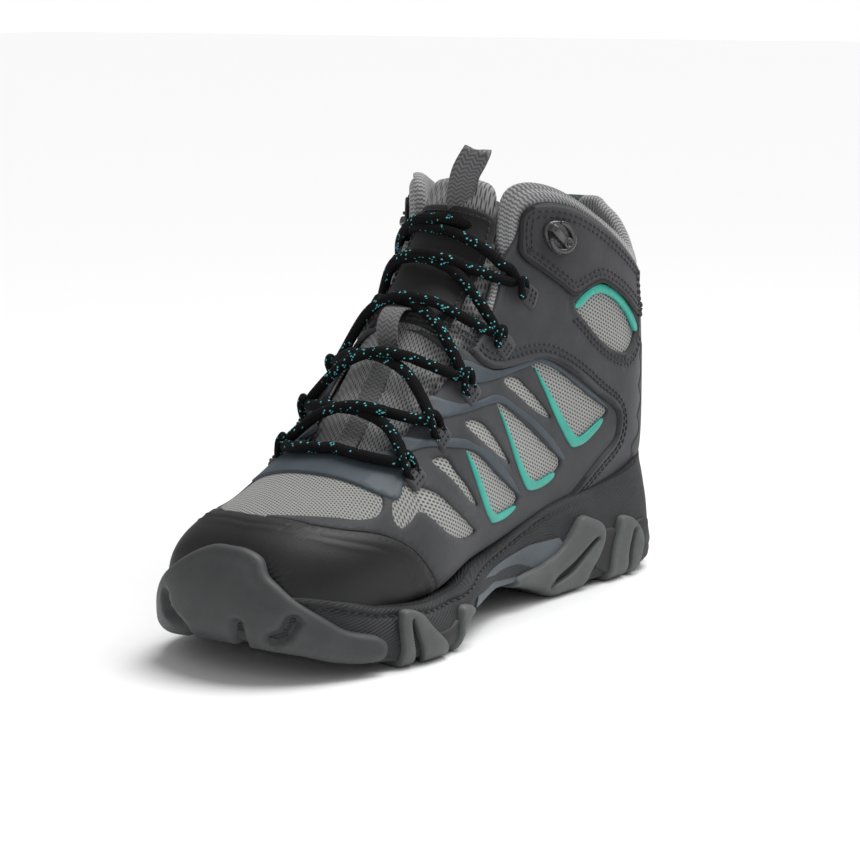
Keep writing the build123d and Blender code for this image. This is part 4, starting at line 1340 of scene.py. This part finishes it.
# ---------------------------------------------------------------- heel
def heel_surface():
    """The back of the upper as one chart: t from the outer side (-) to the inner side (+)."""
    near = UPPER.b <= 0.3
    far = UPPER.b >= 0.7
    b = np.concatenate([UPPER.b[far][:-1] - 1.0, UPPER.b[near]])
    points = np.concatenate([UPPER.points[:, far][:, :-1], UPPER.points[:, near]], axis=1)
    even = np.linspace(b[0], b[-1], 300)
    grid = np.empty((len(UPPER.a), len(even), 3))
    for k in range(3):
        for i in range(len(UPPER.a)):
            grid[i, :, k] = np.interp(even, b, points[i, :, k])
    return Surface(UPPER.a, even, grid, 1.0)


HEEL = heel_surface()


def on_heel(points, side):
    low, high = ((0.55, 0.5), (1.0, 1.0)) if side > 0 else ((0.55, 0.0), (1.0, 0.5))
    return HEEL.find(SIDE_VIEW, points, low, high)


def heel_stay():
    inner = on_heel(rounded(STAY_EDGE, False, 5), 1)
    outer = on_heel(rounded(STAY_EDGE, False, 5), -1)
    loop = np.vstack([inner, outer[::-1]])
    return panel("heel_stay", HEEL, loop, lift=0.5, thick=1.2, edge=0.8, spacing=2.4,
                 material=STAY, uv=uv_side, sink=1.2)


def heel_strip():
    edge = [(137, 148), (136.5, 130), (135, 105)]
    inner = on_heel(rounded(edge, False, 5), 1)
    inner[:, 1] = 0.026
    outer = inner[::-1].copy()
    outer[:, 1] = -0.026
    # painted light: the heel strip takes the lighter copy of the charcoal nubuck
    return panel("heel_strip", HEEL, np.vstack([inner, outer]), lift=0.9, thick=1.0, edge=0.7,
                 spacing=2.0, material=NUBUCK_LIT, uv=uv_side, sink=1.2)


# ---------------------------------------------------------------- collar and lining
ROLL_DEPTH = 7.0


def collar_lines(side, count):
    """Chart points of the rim and of the roll's lower edge, from the throat to the back."""
    u = np.linspace(0, 1, count)
    lines = []
    for line in (RIM[side], ROLL_LOW[side]):
        dense = on_side(rounded(line, False, 14), side)
        dense = np.vstack([dense, [(dense[-1][0], 0.0 if side > 0 else 1.0)]])
        space = UPPER.at(dense)
        reach = running_length(space)
        chart = np.stack([np.interp(u * reach[-1], reach, dense[:, k]) for k in range(2)], axis=1)
        for _ in range(2):
            chart[1:-1] = (chart[:-2] + 2 * chart[1:-1] + chart[2:]) / 4
        lines.append(chart)
    return lines


def collar_roll():
    """The padded rim: a closed section carried from one throat edge round the back."""
    count = 60
    rings = []
    for side in (1, -1):
        rim, low = collar_lines(side, count)
        order = range(count) if side > 0 else range(count - 2, -1, -1)
        for i in order:
            outside = [low[i] * (1 - u) + rim[i] * u for u in np.linspace(0, 1, 9)]
            width = float(np.linalg.norm(UPPER.at([rim[i]]) - UPPER.at([low[i]])))
            bulge = min(3.2, 1.0 + width * 0.07)
            ring = []
            for k, chart in enumerate(outside[:-1]):
                u = k / 8
                ring.append(UPPER.at([chart], -1.3 + bulge * sin(pi * min(u * 1.15, 1)) ** 0.7)[0])
            top = UPPER.at([rim[i]], 0.0)[0]
            normal = UPPER.normals([rim[i]])[0]
            up = UPPER.at([rim[i]])[0] - UPPER.at([low[i]])[0]
            up /= max(np.linalg.norm(up), 1e-6)
            for angle in np.linspace(0.25, 0.95, 7) * pi:
                ring.append(top + normal * (-ROLL_DEPTH / 2 + ROLL_DEPTH / 2 * cos(angle))
                            + up * (3.6 * sin(angle) - 1.0))
            reach = 26.0
            for k in range(1, 9):
                u = k / 8
                pad = 1.5 * sin(pi * u)
                ring.append(top - up * reach * u * 0.9 - normal * (ROLL_DEPTH + pad - 1.2 * u))
            rings.append(ring)
    rings = np.array(rings)
    for end in (0, 1, 2):
        shrink = (0.35, 0.75, 0.93)[end]
        for index in (end, len(rings) - 1 - end):
            middle = rings[index].mean(axis=0)
            rings[index] = middle + (rings[index] - middle) * shrink
    step = np.linalg.norm(np.diff(rings, axis=0), axis=-1).mean(axis=1)
    run = np.concatenate([[0], np.cumsum(step)])
    around = running_length(rings[30])
    rows, cols = rings.shape[:2]
    faces = loft_faces(rows, cols, True)
    faces.append(tuple(reversed(range(cols))))
    faces.append(tuple((rows - 1) * cols + j for j in range(cols)))
    uv = np.stack([np.repeat(run[:, None], cols, 1), np.repeat(around[None], rows, 0)], axis=-1)
    return make_object("collar_roll", rings.reshape(-1, 3), faces, ROLL, uv.reshape(-1, 2))


def lining(side):
    throat = THROAT_EDGE[side]
    far = 0.02 if side > 0 else 0.98
    back = 0.0 if side > 0 else 1.0
    top = below_roll(side, 3.0)
    throat = throat[throat[:, 0] < BINDING_FROM]
    loop = [(0.03, far), (0.03, 0.5), (throat[0][0] - 0.005, 0.5), *throat.tolist(),
            *top.tolist(), (top[-1][0], back), (0.5, back)]
    return panel(f"lining_{MIRROR[side]}", UPPER, np.array(loop), lift=-6.6, thick=0.7, edge=0.5,
                 spacing=4.0, material=LINING, uv=uv_side, hem=3.0, sink=0.5)


def footbed():
    """The loose insole: a dished sheet with a raised heel rim."""
    rows, cols = 60, 25
    points = np.zeros((rows, cols, 3))
    y = np.linspace(-121, 129, rows)
    for i in range(rows):
        s = np.interp(y[i], [-131, -115, -87, -54, -14, 34, 90, 137],
                      [0.08, 0.16, 0.27, 0.38, 0.50, 0.62, 0.72, 0.80])
        row = UPPER.at([(s, 0.0)], 0.0)[0]
        half_in = 0.80 * np.interp(s, [r[0] for r in STATIONS], [r[3] for r in STATIONS]) - 2
        half_out = 0.80 * np.interp(s, [r[0] for r in STATIONS], [r[4] for r in STATIONS]) - 2
        end = min((y[i] + 127) / 22, (135 - y[i]) / 30, 1)
        fit = max(end, 0.02) ** 0.5
        for j, u in enumerate(np.linspace(-1, 1, cols)):
            x = (half_in if u > 0 else half_out) * u * fit
            rim = 2.6 * abs(u) ** 4 * (0.4 + 0.9 * max(0, (y[i] - 20) / 110))
            points[i, j] = (row[0] + x, y[i], row[2] + 8.8 + rim)
    uv = points[..., :2]
    return grid_mesh("footbed", points, uv, FOOTBED, flip=True)


# ---------------------------------------------------------------- lacing
LOOPS = [(0.375, 31), (0.475, 32), (0.585, 33), (0.70, 33), (0.795, 34)]
LACE_RADIUS = 2.6
LACE_LIFT = 3.4
LACE_REACH = 24
UPWARD = np.array([0.0, -0.72, 0.69])


def crown(s, across, lift):
    """A point over the instep: across from the centre line, lift above the panels."""
    t = np.linspace(0.25, 0.75, 121)
    chart = np.stack([np.full(121, s), t], axis=1)
    points = UPPER.at(chart)
    ridge = UPPER.at([(s, 0.5)])[0]
    offset = points[:, 0] - ridge[0]
    spot = np.array([np.interp(-across, -offset, points[:, k]) for k in range(3)])
    return spot + UPWARD * lift


def lace_path(first_side):
    """One lace: from the bottom bar through the loops in turn, then tucked behind the collar."""
    points = [crown(LOOPS[0][0] - 0.022, 0, LACE_LIFT)]
    side = first_side
    for row, (s, reach) in enumerate(LOOPS):
        low = s - 0.026
        points.append(crown(low, side * (reach - 15), LACE_LIFT + 0.3))
        points.append(crown(s - 0.012, side * (reach - 3.5), LACE_LIFT + 0.2))
        points.append(crown(s + 0.003, side * (reach + 0.5), LACE_LIFT + 0.2))
        points.append(crown(s + 0.018, side * (reach - 1.0), LACE_LIFT + 0.9))
        if row == len(LOOPS) - 1:
            break
        high = LOOPS[row + 1][0] - 0.030
        over = 2.6 if side < 0 else -0.8
        for u in (0.14, 0.34, 0.55, 0.78):
            rise = s + 0.034 + (high - s - 0.034) * (1 - (1 - u) ** 2.6)
            points.append(crown(rise, side * (LACE_REACH + 3) * (1 - 2 * u),
                                LACE_LIFT + 1.0 + over * sin(pi * u)))
        side = -side
    if side < 0:
        top = [(0.822, -33, 3.4), (0.843, -27, 4.6), (0.856, -14, 5.0), (0.862, -2, 4.4),
               (0.866, 6, 3.0), (0.876, 12, -2.0), (0.895, 17, -8.0), (0.92, 21, -11.0)]
    else:
        top = [(0.812, 30, 3.6), (0.822, 24, 3.8), (0.832, 12, 3.2), (0.842, -2, 2.6),
               (0.852, -15, 2.4), (0.862, -25, 0.5), (0.88, -31, -6.0), (0.91, -32, -11.0)]
    points += [crown(*spot) for spot in top]
    return points


def lacing():
    """Both laces, cut down the middle: each half follows its side of the throat at its outer
    end and the tongue in the middle."""
    halves = {1: [], -1: []}
    centre = UPPER.at([(0.6, 0.5)])[0][0]
    for first in (1, -1):
        dense = resample(rounded(lace_path(first), False, 12), 1.0, False)
        half = np.where(dense[:, 0] > centre, 1, -1)
        breaks = np.concatenate([[0], np.where(np.diff(half))[0] + 1, [len(dense)]])
        for begin, end in zip(breaks[:-1], breaks[1:]):
            stop = min(end + 1, len(dense))
            if stop - begin < 3:
                continue
            halves[half[begin]].append(tube("lace", dense[begin:stop], LACE_RADIUS, LACE,
                                            sides=14, squash=0.92))
    for side in (1, -1):
        thing = merge(f"lace_{MIRROR[side]}", halves[side])
        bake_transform(thing)
        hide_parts("lace_rows" if side > 0 else "lace_ends")


HOOK_SPOT = (58, 167)
HOOK_HALF = (9.0, 7.2)     # half length and half width of the hook's base
HOOK_LIFT = 2.2            # the base sits on the collar patch


def hook(side):
    """Open lace hook: a drop-shaped base, a bail bent outwards, a centre tongue and a rivet."""
    chart = on_side([HOOK_SPOT], side)
    spot = UPPER.at(chart, HOOK_LIFT)[0]
    out = UPPER.normals(chart)[0]
    rear = np.cross([0, 0, side], out)
    rear /= np.linalg.norm(rear)
    rise = np.cross(out, rear) * side
    along = 0.8 * rear - 0.6 * rise
    across = np.cross(out, along)

    def place(points):
        p = np.asarray(points, float)
        return spot + p[:, :1] * along + p[:, 1:2] * across + p[:, 2:] * out

    def dome(centre, half, profile):
        """A round or oval disc: profile is (radius fraction, height) from the middle out."""
        angle = np.linspace(0, 2 * pi, 37)
        taper = 1 - 0.16 * (half[0] > half[1]) * np.cos(angle + pi)
        rows = [np.stack([centre[0] + half[0] * r * np.cos(angle),
                          centre[1] + half[1] * r * np.sin(angle) * taper,
                          np.full(37, centre[2] + h)], axis=1) for r, h in profile]
        points = np.stack([place(row) for row in rows], axis=1)
        uv = points[..., :2]
        return grid_mesh("dome", points, uv, HOOK, flip=side > 0)

    base = dome((0, 0, 0), HOOK_HALF, [(0.001, 1.3), (0.55, 1.35), (0.78, 1.5), (0.86, 2.1),
                                       (0.95, 2.0), (1.0, 1.3), (1.02, -0.6)])
    rivet = dome((5.0, 0, 1.3), (2.7, 2.7), [(0.001, 1.2), (0.45, 1.2), (0.55, 2.3), (0.8, 2.5),
                                             (0.97, 1.9), (1.0, -0.2)])
    turn = np.radians(np.linspace(-130, 130, 41))
    lift = 2.6 + 2.8 * np.clip((np.abs(turn) - 1.2) / 1.4, 0, 1) ** 1.5
    bail = place(np.stack([HOOK_HALF[0] * 0.86 * np.cos(turn), HOOK_HALF[1] * 0.82 * np.sin(turn),
                           lift], axis=1))
    ring = tube("bail", bail, np.interp(np.abs(turn), [0, 1.8, 2.27], [1.4, 1.3, 0.8]), HOOK,
                sides=14, up=np.tile(out, (41, 1)), squash=0.85)
    spine = place([(3.4, 0, 2.4), (0.5, 0, 3.0), (-2.4, 0.1, 4.0), (-5.0, 0.3, 4.6), (-6.6, 0.5, 3.9),
                   (-7.0, 0.5, 2.0)])
    middle = ribbon("spine", spine, 3.6, 1.5, across, HOOK)
    return merge(f"lace_hook_{MIRROR[side]}", [base, rivet, ring, middle])


def ribbon(name, path, width, thick, across, material):
    """Woven tape along a path; across is the width direction at each point."""
    path = resample(rounded(path, False, 10), 1.0, False)
    n = len(path)
    along = np.gradient(path, axis=0)
    along /= np.linalg.norm(along, axis=1, keepdims=True)
    across = np.broadcast_to(np.asarray(across, float), (n, 3))
    side = across - along * (across * along).sum(1, keepdims=True)
    side /= np.linalg.norm(side, axis=1, keepdims=True)
    up = np.cross(side, along)
    section = [(u, 1.0 - 0.35 * u**4) for u in np.linspace(-1, 1, 9)]
    ring = [(u, h) for u, h in section] + [(u, -h) for u, h in reversed(section)]
    rings = np.stack([path + side * (u * width / 2) + up * (h * thick / 2) for u, h in ring], axis=1)
    lengths = running_length(path)
    cols = len(ring)
    faces = loft_faces(n, cols)
    faces.append(tuple(range(cols)))
    faces.append(tuple((n - 1) * cols + j for j in reversed(range(cols))))
    widths = np.array([u * width / 2 for u, h in ring])
    uv = np.stack([np.repeat(lengths[:, None], cols, 1), np.repeat(widths[None], n, 0)], axis=-1)
    return make_object(name, rings.reshape(-1, 3), faces, material, uv.reshape(-1, 2))


def beyond(s, side, reach, extra):
    """Upper chart coordinates extra mm further round the side than the loop at s and reach."""
    t = np.linspace(0.5, 0.2 if side > 0 else 0.8, 200)
    points = UPPER.at(np.stack([np.full(200, s), t], axis=1))
    across = np.maximum.accumulate(np.abs(points[:, 0] - points[0, 0]))
    run = running_length(points)
    return s, float(np.interp(np.interp(reach, across, run) + extra, run, t))


def lace_loops(side):
    """Cord loops that hold the lace, each sewn under a stitched tab beside the throat."""
    made = []
    for s, reach in LOOPS:
        spots = ((-0.009, 7.5, 0.3), (-0.010, 5.0, 0.9), (-0.010, 2.4, 3.4), (-0.007, 0.0, 6.0),
                 (0.001, -1.4, 7.0), (0.009, 0.2, 6.0), (0.013, 2.6, 3.4), (0.013, 5.0, 0.9),
                 (0.012, 7.5, 0.3))
        chart = [beyond(s + step, side, reach, extra) for step, extra, lift in spots]
        path = UPPER.at(chart, [lift for step, extra, lift in spots])
        path = resample(rounded(path, False, 10), 0.8, False)
        made.append(tube("loop", path, 1.7, LACE, sides=12))
    return merge(f"lace_loops_{MIRROR[side]}", made)


def loop_tabs(side):
    """Small stitched patches over the ends of the cord loops."""
    tabs, lines = [], []
    for index, (s, reach) in enumerate(LOOPS):
        low = 1.0 if index >= 3 else 0.1
        corners = [beyond(s + step, side, reach, extra) for step, extra in (
            (-0.016, 4.0), (0.020, 4.0), (0.020, 11.5), (-0.016, 11.5))]
        # painted light: the tabs take the lighter copy of the charcoal nubuck
        tabs.append(panel("tab", UPPER, rounded(corners, True, 5, 0.3), lift=low, thick=1.5, edge=1.4,
                          spacing=1.8, material=NUBUCK_LIT, uv=uv_side, hem=0.9, sink=1.2))
        for extra in (5.6, 7.8, 10.0):
            ends = [beyond(s + step, side, reach, extra) for step in (-0.012, 0.016)]
            lines.append((np.linspace(ends[0], ends[1], 12), low + 1.5))
    fixed(merge(f"loop_tabs_{MIRROR[side]}", tabs), "webbing_dark")
    thread = [stitches("stitch", UPPER, [line], lift, THREAD, 1.7, 0.7) for line, lift in lines]
    fixed(merge(f"loop_stitches_{MIRROR[side]}", thread), "lace_black")


# ---------------------------------------------------------------- tongue
def tongue_loop(shrink, low, high):
    """Chart outline of the tongue between two distances up the instep."""
    inner = [(x - shrink, w) for x, w in THROAT_INNER if low < w < high]
    outer = [(x + shrink, w) for x, w in THROAT_OUTER if low < w < high]
    inner_end = THROAT_INNER[-1][0] - shrink
    outer_end = THROAT_OUTER[-1][0] + shrink
    ring = [(18 - shrink, low), *inner, (inner_end, high - 8), (inner_end - 6, high),
            (outer_end + 8, high), (outer_end, high - 8), *outer[::-1], (-18 + shrink, low)]
    return on_instep(ring)


def tongue_pad():
    loop = tongue_loop(0.6, 3.0, 151)

    def quilt(points, gap, chart):
        seams = sum(np.exp(-((chart[:, 0] - s) / 0.006) ** 2) for s in (0.50, 0.66, 0.82))
        return -1.0 * seams + 0.8 * np.clip(gap / 10, 0, 1)

    return panel("tongue", UPPER, rounded(loop, True, 4), lift=-8.2, thick=5.0, edge=4.0,
                 spacing=2.6, material=TONGUE_MESH, uv=uv_top, relief=quilt, sink=1.5, hem=2.0)


def patch_outline():
    return rounded(on_instep(TONGUE_PATCH), True, 4)


def tongue_patch():
    return panel("tongue_patch", UPPER, patch_outline(), lift=-1.6, thick=1.2, edge=0.8,
                 spacing=2.6, material=BLACK_PATCH, uv=uv_top, sink=1.6, hem=1.6)


def patch_stitches():
    """One row of thread round the patch on the tongue."""
    ring = patch_outline()
    row = ring_beside(UPPER, ring, 3.0, True)
    return stitches("patch_stitches", UPPER, [np.vstack([row, row[:1]])], -0.35, THREAD)


def gusset(side):
    """Thin bellows under the throat edge, tying the tongue to the quarters."""
    edge = THROAT_INNER if side > 0 else THROAT_OUTER
    low = [(x - side * 3.0, w) for x, w in edge if 8 < w < 150]
    high = [(x + side * 7.0, w) for x, w in edge if 8 < w < 150]
    loop = on_instep(rounded(low, False, 5).tolist() + rounded(high, False, 5)[::-1].tolist())
    return panel(f"gusset_{MIRROR[side]}", UPPER, loop, lift=-5.4, thick=0.8, edge=0.5,
                 spacing=2.6, material=TONGUE_MESH, uv=uv_top, sink=0.5)


def throat_rand():
    ring = on_top(rounded([(-40, -74), (-28, -80), (0, -81.5), (27, -80.5), (39, -74), (33, -62),
                           (24, -58), (15, -64), (0, -66), (-15, -64), (-24, -58), (-33, -62)],
                          True, 5))
    return panel("throat_rand", UPPER, ring, lift=-0.4, thick=1.1, edge=0.7, spacing=2.2,
                 material=FILM, uv=uv_top, sink=1.0)


def pull_loops():
    """The webbing loops at the top of the tongue and at the heel, and the lace keeper."""
    front = [(-4, 33.5, 178), (-3, 31.5, 187), (1, 28.8, 196), (4.5, 29.6, 202.5)]
    back = [(x - 1.4, y + 3.4, z - 0.4) for x, y, z in reversed(front)]
    pull = ribbon("tongue_pull_loop", [*front, (6.3, 31.6, 206.3), *back], 12.5, 1.4,
                  (0.81, 0.586, 0), WEBBING)
    placed(pull, "tongue_pull", "webbing_grey", "tongue_pull_loop")
    heel = ribbon("heel_pull_loop", [(-8, 139.5, 158), (-8, 141.5, 167), (-8, 141, 174.5),
                                     (-8, 137.5, 178), (-8, 133, 175.5), (-8, 131, 168)],
                  16, 1.6, (1, 0, 0), DARK_WEBBING)
    placed(heel, "heel_pull", "webbing_dark", "heel_pull_loop")
    face = -1.5
    strip = [crown(s, 0, face) for s in (0.365, 0.40, 0.45, 0.50, 0.555)]
    strip += [crown(0.572, 0, face + 1.0), crown(0.585, 0, 5.0), crown(0.605, 0, 8.2),
              crown(0.63, 0, 7.6), crown(0.648, 0, 3.0), crown(0.66, 0, face + 0.6)]
    keeper = ribbon("lace_keeper", strip, 11, 1.2, (1, 0, 0), WEBBING)
    placed(keeper, "tongue", "webbing_grey", "lace_keeper")


# ---------------------------------------------------------------- padding by cloth simulation
VOXEL = 4.5                # grain of the remeshed copy
PRESSURE = 4.0             # cloth pressure inside it
SWELL_FRAMES = 20
ROLL_SWELL = 1.6           # how far at most the skin of each padded piece moves
TONGUE_SWELL = 1.2


def swell(thing, limit):
    """Puffs up a padded piece: a remeshed copy is inflated as cloth, and the way its skin moved,
    capped at limit mm, is carried over to the piece itself."""
    scene = bpy.context.scene
    proxy = bpy.data.objects.new("proxy", thing.data.copy())
    scene.collection.objects.link(proxy)
    remesh = proxy.modifiers.new("remesh", "REMESH")
    remesh.mode = "VOXEL"
    remesh.voxel_size = VOXEL * MM
    before = bpy.data.meshes.new_from_object(
        proxy.evaluated_get(bpy.context.evaluated_depsgraph_get()))
    proxy.modifiers.clear()
    proxy.data = before
    cloth = proxy.modifiers.new("cloth", "CLOTH")
    cloth.settings.use_pressure = True
    cloth.settings.uniform_pressure_force = PRESSURE
    cloth.settings.effector_weights.gravity = 0.0
    cloth.point_cache.frame_start = 1
    cloth.point_cache.frame_end = SWELL_FRAMES
    for number in range(1, SWELL_FRAMES + 1):
        scene.frame_set(number)
    after = proxy.evaluated_get(bpy.context.evaluated_depsgraph_get()).data
    start = np.array([v.co for v in before.vertices])
    moved = np.array([v.co for v in after.vertices]) - start
    moved -= moved.mean(axis=0)
    tree = KDTree(len(start))
    for index, point in enumerate(start):
        tree.insert(point, index)
    tree.balance()
    for vertex in thing.data.vertices:
        near = [index for _, index, _ in tree.find_n(vertex.co, 6)]
        step = moved[near].mean(axis=0)
        size = np.linalg.norm(step)
        vertex.co += Vector(step * min(1.0, limit * MM / max(size, 1e-9)))
    bpy.data.objects.remove(proxy)
    scene.frame_set(1)


# ---------------------------------------------------------------- put it together
for side in (1, -1):
    word = MIRROR[side]
    fixed(side_cloth(side), "mesh_grey", f"quarter_mesh_{word}")
    fixed(quarter_overlay(side), "nubuck_charcoal", f"quarter_overlay_{word}")
    fixed(ankle_overlay(side), "nubuck_charcoal", f"ankle_overlay_{word}")
    fixed(collar_patch(side), "nubuck_charcoal", f"collar_patch_{word}")
    fixed(small_panels("teal_trims", TEALS, side, TRIM_LIFT, 0.55, TEAL), "trim_teal",
          f"teal_trims_{word}")
    fixed(small_panels("ankle_teal", [ANKLE_TEAL], side, 0.3, 0.9, TEAL), "trim_teal")
    fixed(small_panels("film_strips", FILMS, side, TRIM_LIFT, 0.6, FILM), "film_blue_grey",
          f"film_strips_{word}")
    fixed(lining(side), "lining_grey", *(["lining"] if side > 0 else []))
    fixed(lace_loops(side), "lace_black", f"lace_loops_{word}")
    loop_tabs(side)
    fixed(hook(side), "hook_black", "lace_hooks", "hook_washers", "hook_rivets")
    fixed(patch_binding(side), "toe_black")
    fixed(throat_binding(side), "lining_grey")
    edge_stitches(side)
    fixed(gusset(side), "tongue_mesh", f"gusset_{word}")
    fixed(lug_webs(side), "rubber_black")
    for piece in lugs(["forefoot_lug_front", "forefoot_lug_rear"], side):
        fixed(piece, "lug_grey", "forefoot_lugs")
    for piece in lugs(["heel_lug_front", "heel_lug_middle", "heel_lug_rear"], side):
        fixed(piece, "lug_grey", "heel_lugs")
fixed(vamp_cloth(), "mesh_grey", "vamp_mesh")
fixed(toe_cap(), "toe_black", "toe_cap")
fixed(throat_rand(), "film_blue_grey", "throat_rand")
fixed(sidewall(), "sole_black", "midsole")
fixed(feather_stitches(), "lace_black")
fixed(toe_bumper(), "bumper_grey", "toe_bumper")
fixed(heel_stay(), "toe_black", "heel_stay")
fixed(heel_strip(), "nubuck_charcoal")
roll = collar_roll()
swell(roll, ROLL_SWELL)
fixed(roll, "lining_grey", "collar_roll", "collar_foam_medial", "collar_foam_lateral")
lacing()
pull_loops()
tongue = tongue_pad()
swell(tongue, TONGUE_SWELL)
placed(tongue, "tongue", "tongue_mesh", "tongue_face", "tongue_foam", "tongue_lining")
placed(tongue_patch(), "tongue", "patch_black", "tongue_patch")
placed(patch_stitches(), "tongue", "lace_black")
placed(footbed(), "footbed", "footbed_grey", "footbed")

KEPT = {
    "outsole_base": RUBBER, "arch_shank": SHANK, "centre_tread": LUG, "insole_board": BOARD,
    "toe_puff": STIFF, "heel_counter": STIFF,
}
for node, material in KEPT.items():
    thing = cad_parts[node]
    thing.data.materials.clear()
    thing.data.materials.append(material)


# ---------------------------------------------------------------- camera, light, floor
CAMERA_AZIMUTH = radians(35.86)
CAMERA_HEIGHT = radians(10.31)
CAMERA_DISTANCE = 1070.2
CAMERA_TARGET = Vector((10.36, -10.98, 84.68))
CAMERA_LENS = 100.46
SENSOR_WIDTH = 36.0
LIGHT_TARGET = Vector((0, 0, 0.09))
FRONT_LIGHT = ((0.45, -1.0, 0.75), 0.9, 1.0)      # place in metres, size and power
RIGHT_LIGHT = ((0.52, 0.34, 0.78), 0.5, 2.7)
SUN_PLACE = (0.10, 0.35, 1.1)
SUN_STRENGTH = 2.4
SUN_SPREAD = radians(35)
SKY_LIGHT = 0.36
FLOOR_HALF = 12000.0


def aim(thing, target):
    direction = target - thing.location
    thing.rotation_euler = direction.to_track_quat("-Z", "Y").to_euler()


def add_camera():
    camera = bpy.data.objects.new("camera", bpy.data.cameras.new("camera"))
    back = Vector((sin(CAMERA_AZIMUTH) * cos(CAMERA_HEIGHT),
                   -cos(CAMERA_AZIMUTH) * cos(CAMERA_HEIGHT), sin(CAMERA_HEIGHT)))
    camera.location = (CAMERA_TARGET + back * CAMERA_DISTANCE) * MM
    camera.data.lens = CAMERA_LENS
    camera.data.sensor_width = SENSOR_WIDTH
    aim(camera, CAMERA_TARGET * MM)
    bpy.context.scene.collection.objects.link(camera)
    bpy.context.scene.camera = camera


def add_light(name, place, size, power):
    lamp = bpy.data.lights.new(name, "AREA")
    lamp.size = size
    lamp.energy = power
    thing = bpy.data.objects.new(name, lamp)
    thing.location = place
    aim(thing, LIGHT_TARGET)
    bpy.context.scene.collection.objects.link(thing)


def add_floor():
    m = Shade("floor", roughness=0.9, specular=0.1)
    speck = m.noise(m.space(), 120.0, 3.0)
    material = m.done(m.mix(speck, grey(0.88), grey(0.91)))
    n = FLOOR_HALF
    floor = make_object("floor", [(-n, -n, 0), (n, -n, 0), (n, n, 0), (-n, n, 0)],
                        [(0, 1, 2, 3)], material, smooth=False)


def add_sun():
    """Wide soft key light from above and behind the heel side."""
    lamp = bpy.data.lights.new("key", "SUN")
    lamp.energy = SUN_STRENGTH
    lamp.angle = SUN_SPREAD
    thing = bpy.data.objects.new("key", lamp)
    thing.location = SUN_PLACE
    aim(thing, Vector((0, 0, 0)))
    bpy.context.scene.collection.objects.link(thing)


def add_world():
    """White surroundings: plain white to the camera, a softer sky as a light."""
    world = bpy.data.worlds.new("studio")
    world.use_nodes = True
    nodes, links = world.node_tree.nodes, world.node_tree.links
    sky = nodes["Background"]
    sky.inputs["Color"].default_value = grey(1.0)
    strength = nodes.new("ShaderNodeMapRange")
    strength.inputs["To Min"].default_value = SKY_LIGHT
    strength.inputs["To Max"].default_value = 1.0
    links.new(nodes.new("ShaderNodeLightPath").outputs["Is Camera Ray"], strength.inputs["Value"])
    links.new(strength.outputs[0], sky.inputs["Strength"])
    bpy.context.scene.world = world


add_camera()
add_sun()
add_light("front", *FRONT_LIGHT)
add_light("right", *RIGHT_LIGHT)
add_floor()
add_world()
bpy.context.scene.view_settings.view_transform = "Standard"
